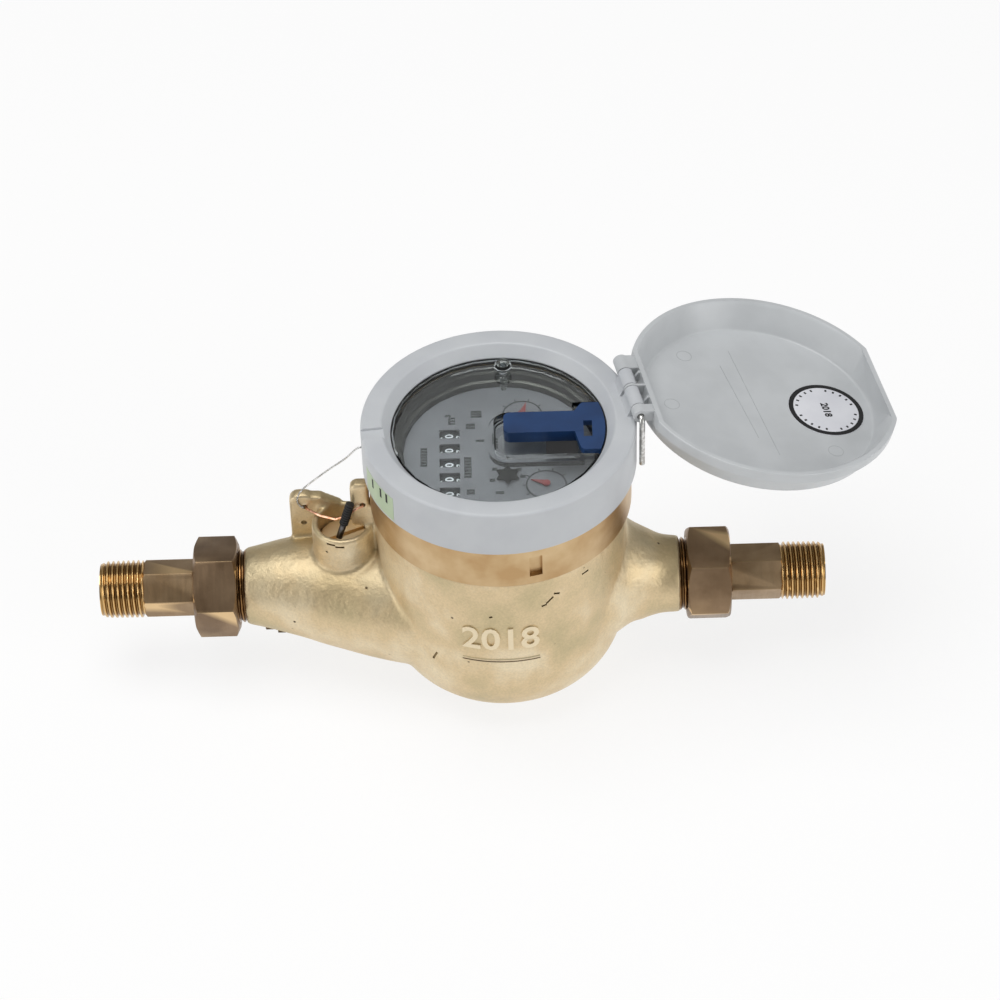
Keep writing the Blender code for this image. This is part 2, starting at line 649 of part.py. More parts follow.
def build_head_ring():
    """Brass ring screwed on the neck, with a flange over the crystal."""
    bore = NECK_RADIUS + SLIDE
    under_flange = HEAD_TOP_Z - HEAD_FLANGE
    ring = turned("head_ring", [
        (HEAD_MOUTH_RADIUS, HEAD_TOP_Z), (HEAD_RADIUS - 1.0 * MM, HEAD_TOP_Z),
        (HEAD_RADIUS, HEAD_TOP_Z - 1.0 * MM), (HEAD_RADIUS, HEAD_BOTTOM_Z + 0.5 * MM),
        (HEAD_RADIUS - 0.5 * MM, HEAD_BOTTOM_Z), (bore, HEAD_BOTTOM_Z), (bore, under_flange),
        (HEAD_MOUTH_RADIUS, under_flange)], STEPS_BODY, True)
    for number, angle in enumerate(HEAD_RECESS_ANGLES):
        notch = block(f"head_recess_{number}", (HEAD_RADIUS - HEAD_RECESS_DEPTH, -HEAD_RECESS_WIDTH / 2,
                                                HEAD_BOTTOM_Z + 4 * MM),
                      (HEAD_RADIUS + CUT, HEAD_RECESS_WIDTH / 2, HEAD_BOTTOM_Z + 4 * MM + HEAD_RECESS_HEIGHT))
        notch.matrix_world = Matrix.Rotation(math.radians(angle), 4, "Z") @ notch.matrix_world
        cut(ring, notch)
    place(ring, METER, TURNED_BRASS)


def build_can():
    """Dark metal can that holds the register, with a stepped mouth and a flange."""
    outer = CAN_INNER_RADIUS + CAN_WALL
    second = CAN_INNER_RADIUS + CAN_STEP
    lip = second + CAN_STEP
    flange_bottom = NECK_TOP_Z + GAP
    flange_top = flange_bottom + CAN_FLANGE
    can = turned("register_can", [
        (lip + CAN_LIP_WALL, CAN_LIP_TOP_Z), (lip + CAN_LIP_WALL, flange_top), (FLANGE_RADIUS, flange_top),
        (FLANGE_RADIUS, flange_bottom), (second + CAN_WALL, flange_bottom),
        (second + CAN_WALL, CAN_STEP_Z[0] - 0.4 * MM), (outer, CAN_STEP_Z[0] - 1.6 * MM),
        (outer, CAN_FLOOR_Z),
        (SPINDLE_HOLE_RADIUS, CAN_FLOOR_Z), (SPINDLE_HOLE_RADIUS, CAN_FLOOR_Z + CAN_WALL),
        (CAN_INNER_RADIUS, CAN_FLOOR_Z + CAN_WALL), (CAN_INNER_RADIUS, CAN_STEP_Z[0]),
        (second, CAN_STEP_Z[0] + 0.4 * MM), (second, CAN_STEP_Z[1]), (lip, CAN_STEP_Z[1] + 0.4 * MM),
        (lip, CAN_LIP_TOP_Z)], STEPS_INNER, True)
    place(can, METER, DARK_METAL)


def crystal_flange():
    """Inner radius, bottom and top of the crystal's flange."""
    inner = CAN_INNER_RADIUS + 2 * CAN_STEP + CAN_LIP_WALL + GAP
    bottom = NECK_TOP_Z + GAP + CAN_FLANGE + GAP + GASKET + GAP
    top = HEAD_TOP_Z - HEAD_FLANGE - GAP
    return inner, bottom, top


def pocket_outline(grow, right_x):
    """Outline of the crystal's pocket, grown by a wall."""
    low, high = POCKET_SIDES_Y[0] - grow, POCKET_SIDES_Y[1] + grow
    left = POCKET_LEFT_X - grow
    corner = POCKET_CORNER + grow
    return [(right_x, low), (right_x, high),
            *arc(left + corner, high - corner, corner, 90.0, 180.0, 5),
            *arc(left + corner, low + corner, corner, 180.0, 270.0, 5)]


def build_crystal():
    """Clear cover with a flange, and a round-ended pocket for the plug."""
    inner, bottom, top = crystal_flange()
    underside = CRYSTAL_TOP_Z - CRYSTAL_THICKNESS
    crystal = turned("crystal", [
        (0.0, CRYSTAL_TOP_Z), (CRYSTAL_RADIUS - 0.5 * MM, CRYSTAL_TOP_Z),
        (CRYSTAL_RADIUS, CRYSTAL_TOP_Z - 0.5 * MM), (CRYSTAL_RADIUS, top), (FLANGE_RADIUS, top),
        (FLANGE_RADIUS, bottom), (inner, bottom), (inner, underside), (0.0, underside)], STEPS)
    floor_right = SHELF_X + POCKET_WALL
    join(crystal, plate("pocket_wall", pocket_outline(POCKET_WALL, floor_right),
                        POCKET_FLOOR_Z - POCKET_WALL, underside + 1.0 * MM))
    cut(crystal, plate("pocket", pocket_outline(0.0, SHELF_X + 0.1 * MM),
                       POCKET_FLOOR_Z, CRYSTAL_TOP_Z + CUT))
    web_x = PLUG_BAR_X[1] - PLUG_HEAD_WEB - 0.6 * MM
    cut(crystal, plate("pocket_shelf", [
        (SHELF_X, -SHELF_HALF_WIDTH), (CRYSTAL_RADIUS + CUT, -SHELF_HALF_WIDTH),
        (CRYSTAL_RADIUS + CUT, SHELF_HALF_WIDTH), (web_x, SHELF_HALF_WIDTH), (web_x, PLUG_BAR_Y[1]),
        (SHELF_X, PLUG_BAR_Y[1])], SHELF_Z, CRYSTAL_TOP_Z + CUT))
    cut(crystal, rod("crystal_pin_hole", CRYSTAL_PIN_RADIUS + GAP, underside - CUT, CRYSTAL_TOP_Z + CUT,
                     STEPS_SMALL, CRYSTAL_PIN_XY))
    place(crystal, METER, CLEAR)
    gasket_bottom = bottom - GAP - GASKET
    gasket = tube("crystal_gasket", FLANGE_RADIUS, inner, gasket_bottom, gasket_bottom + GASKET, STEPS_INNER)
    place(gasket, METER, BLACK_RUBBER)
    head_bottom = CRYSTAL_TOP_Z + GAP
    head_top = head_bottom + CRYSTAL_PIN_HEAD
    pin = turned("crystal_pin", [
        (0.0, head_top), (CRYSTAL_PIN_HEAD_RADIUS - 0.7 * MM, head_top),
        (CRYSTAL_PIN_HEAD_RADIUS, head_top - 0.7 * MM), (CRYSTAL_PIN_HEAD_RADIUS, head_bottom),
        (CRYSTAL_PIN_RADIUS, head_bottom), (CRYSTAL_PIN_RADIUS, DIAL_TOP_Z + GAP), (0.0, DIAL_TOP_Z + GAP)],
        STEPS_SMALL)
    pin.location = (*CRYSTAL_PIN_XY, 0.0)
    place(pin, METER, CLEAR)


def build_plug():
    """Blue T-shaped plug that lies in the pocket, and the dark block beside it."""
    bar = plate("blue_plug", [
        (PLUG_BAR_X[1], PLUG_BAR_Y[0]), (PLUG_BAR_X[1], PLUG_BAR_Y[1]),
        *arc(PLUG_BAR_X[0] + 2.4 * MM, PLUG_BAR_Y[1] - 2.4 * MM, 2.4 * MM, 90.0, 180.0, 4),
        *arc(PLUG_BAR_X[0] + 2.4 * MM, PLUG_BAR_Y[0] + 2.4 * MM, 2.4 * MM, 180.0, 270.0, 4)],
        SHELF_Z + GAP, PLUG_TOP_Z)
    keel = plate("plug_keel", [
        (SHELF_X - GAP, PLUG_BAR_Y[0]), (SHELF_X - GAP, PLUG_BAR_Y[1]),
        *arc(PLUG_BAR_X[0] + 2.4 * MM, PLUG_BAR_Y[1] - 2.4 * MM, 2.4 * MM, 90.0, 180.0, 4),
        *arc(PLUG_BAR_X[0] + 2.4 * MM, PLUG_BAR_Y[0] + 2.4 * MM, 2.4 * MM, 180.0, 270.0, 4)],
        POCKET_FLOOR_Z + GAP, SHELF_Z + 1.0 * MM)
    join(bar, keel)
    end = CRYSTAL_RADIUS - 0.2 * MM
    low_angle = math.degrees(math.asin(PLUG_HEAD_Y[0] / end))
    high_angle = math.degrees(math.asin(PLUG_HEAD_Y[1] / end))
    head = plate("plug_head", [
        *arc(0.0, 0.0, end, low_angle, high_angle, 8),
        (PLUG_HEAD_X + 1.0 * MM, PLUG_HEAD_Y[1]), (PLUG_HEAD_X, PLUG_HEAD_Y[1] - 1.0 * MM),
        (PLUG_BAR_X[1] - PLUG_HEAD_WEB, PLUG_BAR_Y[1] - GAP / 3),
        (PLUG_BAR_X[1] - PLUG_HEAD_WEB, PLUG_BAR_Y[0] + GAP / 3),
        (PLUG_HEAD_X, PLUG_HEAD_Y[0] + 1.0 * MM), (PLUG_HEAD_X + 1.0 * MM, PLUG_HEAD_Y[0])],
        SHELF_Z + GAP + 0.05 * MM, PLUG_TOP_Z - 0.05 * MM)
    join(bar, head)
    hole_x, hole_y, hole_w, hole_h = PLUG_HOLE
    cut(bar, block("plug_hole", (hole_x - hole_w / 2, hole_y - hole_h / 2, SHELF_Z),
                   (hole_x + hole_w / 2, hole_y + hole_h / 2, PLUG_TOP_Z + CUT)))
    place(bar, METER, BLUE_PLASTIC)
    left, right, front, back = SENSOR_BLOCK
    sensor = block("sensor_block", (left, front, POCKET_FLOOR_Z + GAP),
                   (right, back, POCKET_FLOOR_Z + GAP + SENSOR_HEIGHT))
    place(sensor, METER, BLACK_RUBBER)


def roller_axis_z():
    """Height of the rollers' shaft under the dial."""
    return DIAL_TOP_Z - DIAL_THICKNESS - ROLLER_BELOW_DIAL - ROLLER_RADIUS


def roller_centres():
    """Middle of each number roller along Y, from the back."""
    return [ROLLER_FIRST_Y - ROLLER_PITCH * i for i in range(ROLLER_COUNT)]


def step_from(start, angle, teeth):
    """Place of an arbor in mesh with the last one, for a sum of teeth."""
    x, y = polar(angle, teeth * MODULE / 2)
    return start[0] + x, start[1] + y


STAR_XY = step_from((0.0, 0.0), STAR_ANGLE, SPINDLE_TEETH + STAR_TEETH)
POINTER_A_XY = step_from(STAR_XY, POINTER_A_ANGLE, STAR_PINION_TEETH + POINTER_A_TEETH)
IDLER_XY = step_from(POINTER_A_XY, IDLER_ANGLE, POINTER_A_PINION_TEETH + IDLER_TEETH)
RELAY_XY = step_from(IDLER_XY, POINTER_B_LINE_ANGLE, IDLER_TEETH + RELAY_TEETH)
POINTER_B_XY = step_from(RELAY_XY, POINTER_B_LINE_ANGLE, RELAY_TEETH + POINTER_B_TEETH)


def gear(name, teeth, centre, bottom, phase):
    """Spur gear; phase is the direction of one tooth's middle, in degrees."""
    pitch_radius = teeth * MODULE / 2
    tip, root = pitch_radius + 0.8 * MODULE, pitch_radius - 1.0 * MODULE
    pitch_angle = 360.0 / teeth
    outline = []
    for i in range(teeth):
        middle = phase + i * pitch_angle
        half = TOOTH_SHARE * pitch_angle / 2
        flank = ((root, -1.5 * half), (tip, -0.5 * half), (tip, 0.5 * half), (root, 1.5 * half))
        for radius, offset in flank:
            x, y = polar(middle + offset, radius)
            outline.append((centre[0] + x, centre[1] + y))
    return plate(name, outline, bottom, bottom + GEAR_HEIGHT)


def mesh_phase(first_phase, first_teeth, second_teeth, direction):
    """Phase of a gear whose tooth gap meets a tooth of the first one on the line of centres."""
    first_pitch = 360.0 / first_teeth
    second_pitch = 360.0 / second_teeth
    share = (direction - first_phase) / first_pitch
    return direction + 180.0 + share * second_pitch + second_pitch / 2


def arbor(name, centre, bottom, top, radius=ARBOR_RADIUS):
    """Shaft of a train wheel."""
    return rod(name, radius, bottom, top, 8, centre)


def star_outline(centre, outer, inner, points):
    """Outline of a pointed wheel."""
    outline = []
    for i in range(points * 2):
        radius = outer if i % 2 == 0 else inner
        x, y = polar(i * 180.0 / points + 90.0, radius)
        outline.append((centre[0] + x, centre[1] + y))
    return outline


def pointer_outline(centre, direction):
    """Outline of a hand: a hub with a tapering tip and a short tail."""
    hub = 1.5 * MM
    outline = [polar(direction, POINTER_LENGTH)]
    for point in arc(0.0, 0.0, hub, direction + 40.0, direction + 320.0, 6):
        outline.append(point)
    return [(centre[0] + x, centre[1] + y) for x, y in outline]


def build_train():
    """Gears, star wheel and pointers, each wheel with its own arbor."""
    star_phase = mesh_phase(0.0, SPINDLE_TEETH, STAR_TEETH, STAR_ANGLE)
    pointer_a_phase = mesh_phase(0.0, STAR_PINION_TEETH, POINTER_A_TEETH, POINTER_A_ANGLE)
    idler_phase = mesh_phase(0.0, POINTER_A_PINION_TEETH, IDLER_TEETH, IDLER_ANGLE)
    relay_phase = mesh_phase(idler_phase, IDLER_TEETH, RELAY_TEETH, POINTER_B_LINE_ANGLE)
    pointer_b_phase = mesh_phase(relay_phase, RELAY_TEETH, POINTER_B_TEETH, POINTER_B_LINE_ANGLE)
    foot = frame_top_z() + GAP
    under_dial = DIAL_TOP_Z - DIAL_THICKNESS - GAP
    hand_top = HAND_Z + POINTER_HEIGHT

    star = arbor("star_wheel", STAR_XY, foot, HAND_Z + STAR_HEIGHT)
    join(star, gear("star_gear", STAR_TEETH, STAR_XY, LEVEL_Z[0], star_phase),
         gear("star_pinion", STAR_PINION_TEETH, STAR_XY, LEVEL_Z[1], 0.0),
         plate("star_points", star_outline(STAR_XY, STAR_RADIUS, 0.62 * STAR_RADIUS, STAR_POINTS),
               HAND_Z, HAND_Z + STAR_HEIGHT - 0.05 * MM))
    place(star, METER, DARK_METAL)

    pointer_a = arbor("pointer_a", POINTER_A_XY, foot, hand_top)
    join(pointer_a, gear("pointer_a_gear", POINTER_A_TEETH, POINTER_A_XY, LEVEL_Z[1], pointer_a_phase),
         gear("pointer_a_pinion", POINTER_A_PINION_TEETH, POINTER_A_XY, LEVEL_Z[2], 0.0),
         plate("pointer_a_hand", pointer_outline(POINTER_A_XY, 160.0), HAND_Z, hand_top - 0.05 * MM))
    place(pointer_a, METER, RED_PLASTIC)

    idler = arbor("idler_gear", IDLER_XY, foot, under_dial)
    join(idler, gear("idler_wheel", IDLER_TEETH, IDLER_XY, LEVEL_Z[2], idler_phase))
    place(idler, METER, WHITE_PLASTIC)

    relay = arbor("relay_pinion", RELAY_XY, foot, under_dial)
    join(relay, gear("relay_wheel", RELAY_TEETH, RELAY_XY, LEVEL_Z[2], relay_phase))
    place(relay, METER, WHITE_PLASTIC)

    pointer_b = arbor("pointer_b", POINTER_B_XY, foot, hand_top)
    join(pointer_b, gear("pointer_b_gear", POINTER_B_TEETH, POINTER_B_XY, LEVEL_Z[2], pointer_b_phase),
         plate("pointer_b_hand", pointer_outline(POINTER_B_XY, 75.0), HAND_Z, hand_top - 0.05 * MM))
    place(pointer_b, METER, RED_PLASTIC)


def frame_top_z():
    """Upper face of the register frame's plate."""
    return CAN_FLOOR_Z + CAN_WALL + GAP + 0.8 * MM


def build_register():
    """Frame with its cheeks and posts, roller shaft, rollers and dial plate."""
    plate_bottom = CAN_FLOOR_Z + CAN_WALL + GAP
    plate_top = frame_top_z()
    post_top = DIAL_TOP_Z - DIAL_THICKNESS - GAP
    centres = roller_centres()
    cheek_back = centres[0] + ROLLER_WIDTH / 2 + GAP
    cheek_front = centres[-1] - ROLLER_WIDTH / 2 - GAP
    frame = tube("register_frame", CAN_INNER_RADIUS - 2 * GAP, SPINDLE_HOLE_RADIUS, plate_bottom, plate_top,
                 STEPS_INNER)
    for number, (front, back) in enumerate(((cheek_back, cheek_back + 1.6 * MM),
                                            (cheek_front - 1.6 * MM, cheek_front))):
        join(frame, block(f"cheek_{number}", (ROLLER_X - 3.5 * MM, front, plate_bottom + 0.1 * MM),
                          (ROLLER_X + 3.5 * MM, back, roller_axis_z() + 3.0 * MM)))
    for number, angle in enumerate((60.0, 168.0, 336.0)):
        join(frame, rod(f"frame_post_{number}", 1.4 * MM, plate_bottom + 0.1 * MM, post_top, STEPS_HIDDEN,
                        polar(angle, 30.8 * MM)))
    well = block("roller_well", (ROLLER_X - ROLLER_RADIUS - 0.6 * MM, cheek_front, plate_bottom - CUT),
                 (ROLLER_X + ROLLER_RADIUS + 0.6 * MM, cheek_back, plate_top + CUT))
    shaft_hole = rod("shaft_hole", ROLLER_SHAFT_RADIUS + GAP, cheek_front - 4 * MM, cheek_back + 4 * MM,
                     STEPS_HIDDEN)
    shaft_hole.rotation_euler = (-math.pi / 2, 0.0, 0.0)
    shaft_hole.location = (ROLLER_X, (cheek_front + cheek_back) / 2, roller_axis_z())
    cut(frame, well, shaft_hole)
    place(frame, METER, WHITE_PLASTIC)

    length = cheek_back - cheek_front + 2 * 1.5 * MM
    shaft = rod("roller_shaft", ROLLER_SHAFT_RADIUS, -length / 2, length / 2, STEPS_HIDDEN)
    shaft.rotation_euler = (-math.pi / 2, 0.0, 0.0)
    shaft.location = (ROLLER_X, (cheek_front + cheek_back) / 2, roller_axis_z())
    place(shaft, METER, STEEL)

    for number, y in enumerate(centres, 1):
        roller = tube(f"number_roller_{number}", ROLLER_RADIUS, ROLLER_SHAFT_RADIUS + GAP,
                      -ROLLER_WIDTH / 2, ROLLER_WIDTH / 2, STEPS_HIDDEN + 2)
        roller.rotation_euler = (-math.pi / 2, 0.0, 0.0)
        roller.location = (ROLLER_X, y, roller_axis_z())
        place(roller, METER, WHITE_PLASTIC)

    dial = rod("dial_plate", DIAL_RADIUS, DIAL_TOP_Z - DIAL_THICKNESS, DIAL_TOP_Z, STEPS)
    for number, y in enumerate(centres):
        cut(dial, block(f"window_{number}", (ROLLER_X - WINDOW_X / 2, y - WINDOW_Y / 2, DIAL_TOP_Z - 2 * MM),
                        (ROLLER_X + WINDOW_X / 2, y + WINDOW_Y / 2, DIAL_TOP_Z + CUT)))
    for number, centre in enumerate((STAR_XY, POINTER_A_XY, POINTER_B_XY)):
        cut(dial, rod(f"dial_hole_{number}", ARBOR_RADIUS + GAP, DIAL_TOP_Z - 2 * MM, DIAL_TOP_Z + CUT,
                      12, centre))
    place(dial, METER, WHITE_PLASTIC)


def build_chamber():
    """Measuring chamber, its cover, the axle and the impeller."""
    inner = CHAMBER_RADIUS - CHAMBER_WALL
    collar_bottom = LEDGE_TOP_Z + GAP
    cup = turned("chamber_cup", [
        (CHAMBER_RADIUS, CHAMBER_TOP_Z), (CHAMBER_RADIUS, collar_bottom + COLLAR_HEIGHT),
        (COLLAR_RADIUS, collar_bottom + COLLAR_HEIGHT), (COLLAR_RADIUS, collar_bottom),
        (CHAMBER_RADIUS, collar_bottom), (CHAMBER_RADIUS, CHAMBER_FLOOR_Z + 3 * MM),
        (CHAMBER_RADIUS - 3 * MM, CHAMBER_FLOOR_Z), (0.0, CHAMBER_FLOOR_Z),
        (0.0, CHAMBER_FLOOR_Z + CHAMBER_WALL), (inner, CHAMBER_FLOOR_Z + CHAMBER_WALL),
        (inner, CHAMBER_TOP_Z)], STEPS_COARSE, True)
    for level, height in enumerate(JET_Z):
        for number in range(JET_COUNT):
            jet = block(f"jet_{level}_{number}",
                        (CHAMBER_RADIUS - 6 * MM, -JET_WIDTH / 2, height - JET_HEIGHT / 2),
                        (CHAMBER_RADIUS + 4 * MM, JET_WIDTH / 2, height + JET_HEIGHT / 2))
            slant = Matrix.Rotation(math.radians(JET_SLANT if level == 0 else -JET_SLANT), 4, "Z")
            middle = Matrix.Translation((CHAMBER_RADIUS - CHAMBER_WALL / 2, 0.0, height))
            centred = Matrix.Translation((-1.0 * MM + CHAMBER_WALL / 2, 0.0, 0.0))
            turn = Matrix.Rotation(2 * math.pi * number / JET_COUNT, 4, "Z")
            jet.matrix_world = turn @ middle @ slant @ centred
            cut(cup, jet)
    place(cup, METER, WHITE_PLASTIC)

    cover_bottom = CHAMBER_TOP_Z + GAP
    cover_top = cover_bottom + COVER_THICKNESS
    ring_top = CAN_FLOOR_Z - GAP
    hole = SPINDLE_RADIUS + SLIDE
    cover = turned("chamber_cover", [
        (COVER_RING_RADIUS, ring_top), (COVER_RING_RADIUS, cover_top), (CHAMBER_RADIUS, cover_top),
        (CHAMBER_RADIUS, cover_bottom), (hole, cover_bottom), (hole, cover_top),
        (COVER_RING_RADIUS - COVER_RING_WALL, cover_top), (COVER_RING_RADIUS - COVER_RING_WALL, ring_top)],
        STEPS_COARSE, True)
    place(cover, METER, WHITE_PLASTIC)

    floor = CHAMBER_FLOOR_Z + CHAMBER_WALL + GAP
    axle = rod("impeller_axle", AXLE_RADIUS, floor, floor + AXLE_LENGTH, STEPS_HIDDEN)
    place(axle, METER, STEEL)

    socket_top = floor + AXLE_LENGTH + GAP
    hub = turned("impeller", [
        (0.0, LEVEL_Z[0] + GEAR_HEIGHT - 0.1 * MM), (SPINDLE_RADIUS, LEVEL_Z[0] + GEAR_HEIGHT - 0.1 * MM),
        (SPINDLE_RADIUS, HUB_TOP_Z), (HUB_RADIUS, HUB_TOP_Z), (HUB_RADIUS, VANE_Z[0] - 1 * MM),
        (AXLE_RADIUS + GAP, VANE_Z[0] - 1 * MM), (AXLE_RADIUS + GAP, socket_top), (0.0, socket_top)],
        STEPS_SMALL)
    for number in range(VANE_COUNT):
        vane = block(f"vane_{number}", (HUB_RADIUS - 1.2 * MM, -VANE_THICKNESS / 2, VANE_Z[0]),
                     (VANE_RADIUS, VANE_THICKNESS / 2, VANE_Z[1]))
        turn = 2 * math.pi * (number + 0.13) / VANE_COUNT
        vane.matrix_world = Matrix.Rotation(turn, 4, "Z") @ vane.matrix_world
        join(hub, vane)
    join(hub, gear("spindle_pinion", SPINDLE_TEETH, (0.0, 0.0), LEVEL_Z[0], 0.0))
    place(hub, METER, WHITE_PLASTIC)


def build_strainer():
    """Slotted strainer cup in the inlet port."""
    mouth = abs(INLET_END_X)
    flange_bottom = mouth - STRAINER_SEAT_DEPTH + GAP
    inner = STRAINER_RADIUS - STRAINER_WALL
    far = mouth - STRAINER_LENGTH
    strainer = turned("inlet_strainer", [
        (inner, mouth), (STRAINER_FLANGE_RADIUS, mouth), (STRAINER_FLANGE_RADIUS, flange_bottom),
        (STRAINER_RADIUS, flange_bottom), (STRAINER_RADIUS, far), (0.0, far), (0.0, far + STRAINER_WALL),
        (inner, far + STRAINER_WALL)], STEPS_SMALL, True)
    lay_along_pipe(strainer, -1)
    for number in range(STRAINER_SLOTS):
        slot = block(f"strainer_slot_{number}", (-mouth + 3.4 * MM, -1.1 * MM, 0.0),
                     (-far - 2.2 * MM, 1.1 * MM, STRAINER_RADIUS + 2 * MM))
        turn = Matrix.Rotation(2 * math.pi * (number + 0.5) / STRAINER_SLOTS, 4, "X")
        slot.matrix_world = Matrix.Translation((0.0, 0.0, PIPE_Z)) @ turn @ slot.matrix_world
        cut(strainer, slot)
    place(strainer, METER, DARK_METAL)


def hexagon(name, across_flats, x_low, x_high, turn):
    """Six-sided bar along the pipe, two of its edges at the sides at turn 0."""
    radius = across_flats / math.sqrt(3)
    bpy.ops.mesh.primitive_cylinder_add(vertices=6, radius=radius, depth=x_high - x_low)
    item = bpy.context.object
    item.name = name
    item.rotation_mode = "ZYX"
    item.rotation_euler = (math.radians(turn), math.pi / 2, 0.0)
    item.location = ((x_low + x_high) / 2, 0.0, PIPE_Z)
    return place(item, METER)


def build_union(side, sign, port_x, nut_turn, tail_turn):
    """Gasket, tailpiece and nut on one port. sign is -1 at the inlet."""
    far = abs(port_x)
    gasket_near = far + GAP
    collar_near = gasket_near + UNION_GASKET + GAP
    nut_near = far - NUT_OVERLAP
    nut_far = nut_near + NUT_LENGTH
    shoulder = nut_far - NUT_FLANGE
    collar_far = shoulder - GAP
    hex_near = nut_far + GAP
    hex_far = hex_near + TAIL_HEX_LENGTH
    tail_far = hex_far + TAIL_THREAD_LENGTH

    gasket = tube(f"{side}_gasket", COLLAR_UNION_RADIUS - 0.3 * MM, TAIL_BORE + 0.8 * MM, gasket_near,
                  gasket_near + UNION_GASKET, STEPS_SMALL)
    place(lay_along_pipe(gasket, sign), METER, BLACK_RUBBER)

    tail = turned(f"{side}_tailpiece", [
        (TAIL_BORE, tail_far), (TAIL_ROOT_RADIUS - 0.8 * MM, tail_far),
        (TAIL_ROOT_RADIUS, tail_far - 1.0 * MM),
        (TAIL_ROOT_RADIUS, hex_far - 1.0 * MM), (TAIL_ROOT_RADIUS - 0.9 * MM, hex_far - 1.2 * MM),
        (TAIL_ROOT_RADIUS - 0.9 * MM, hex_near + 0.5 * MM), (TAIL_NECK_RADIUS, hex_near - 0.1 * MM),
        (TAIL_NECK_RADIUS, collar_far), (COLLAR_UNION_RADIUS, collar_far),
        (COLLAR_UNION_RADIUS, collar_near), (TAIL_BORE, collar_near)], STEPS_COARSE, True)
    lay_along_pipe(tail, sign)
    low, high = sorted((sign * hex_near, sign * hex_far))
    bar = hexagon(f"{side}_tail_hexagon", TAIL_HEX_ACROSS_FLATS, low, high, tail_turn)
    blank = turned(f"{side}_tail_blank", [
        (TAIL_BORE - 1 * MM, hex_far + CUT), (TAIL_ROOT_RADIUS - 0.4 * MM, hex_far + CUT),
        (TAIL_HEX_ACROSS_FLATS / 2 + 1.4 * MM, hex_far - 0.6 * MM),
        (TAIL_HEX_ACROSS_FLATS / 2 + 1.4 * MM, hex_near - CUT), (TAIL_BORE - 1 * MM, hex_near - CUT)],
        STEPS_COARSE, True)
    boolean(bar, lay_along_pipe(blank, sign), "INTERSECT")
    core = turned(f"{side}_tail_core", [
        (0.0, hex_far + 3 * MM), (TAIL_BORE + 0.4 * MM, hex_far + 3 * MM),
        (TAIL_BORE + 0.4 * MM, hex_near - 3 * MM), (0.0, hex_near - 3 * MM)], STEPS_COARSE)
    cut(bar, lay_along_pipe(core, sign))
    join(tail, bar)
    place(tail, METER, TURNED_BRASS)

    low, high = sorted((sign * nut_near, sign * nut_far))
    nut = hexagon(f"{side}_nut", NUT_ACROSS_FLATS, low, high, nut_turn)
    crest = NUT_ACROSS_FLATS / 2
    corner = NUT_ACROSS_FLATS / math.sqrt(3) + 0.2 * MM
    blank = turned(f"{side}_nut_blank", [
        (0.0, nut_far + 0.01 * MM), (crest - 0.5 * MM, nut_far + 0.01 * MM), (corner, nut_far - NUT_CHAMFER),
        (corner, nut_near + NUT_CHAMFER), (crest - 0.5 * MM, nut_near - 0.01 * MM),
        (0.0, nut_near - 0.01 * MM)],
        STEPS_COARSE)
    boolean(nut, lay_along_pipe(blank, sign), "INTERSECT")
    bore = PORT_THREAD_RADIUS + SLIDE
    hollow = turned(f"{side}_nut_hollow", [
        (0.0, nut_far + CUT), (TAIL_NECK_RADIUS + SLIDE, nut_far + CUT), (TAIL_NECK_RADIUS + SLIDE, shoulder),
        (bore, shoulder), (bore, nut_near + 0.8 * MM), (bore + 0.8 * MM, nut_near),
        (bore + 0.8 * MM, nut_near - CUT), (0.0, nut_near - CUT)], STEPS_COARSE)
    cut(nut, lay_along_pipe(hollow, sign))
    place(nut, METER, BRONZE)


def hinge_frame():
    """Matrix whose X is the hinge's radius, Y its axis and origin its middle."""
    return (Matrix.Rotation(math.radians(HINGE_ANGLE), 4, "Z")
            @ Matrix.Translation((HINGE_RADIUS, 0.0, HINGE_Z)))


def barrel(name, start, end, radius=BARREL_RADIUS, steps=STEPS_SMALL):
    """Cylinder along the hinge's axis, in the hinge's own frame."""
    item = rod(name, radius, start, end, steps)
    item.rotation_euler = (-math.pi / 2, 0.0, 0.0)
    item.location = (0.0, (start + end) / 2, 0.0)
    bpy.context.view_layer.update()
    return item


def to_world(item, matrix):
    """Moves a piece that was made in another frame."""
    bpy.context.view_layer.update()
    item.matrix_world = matrix @ item.matrix_world
    return item


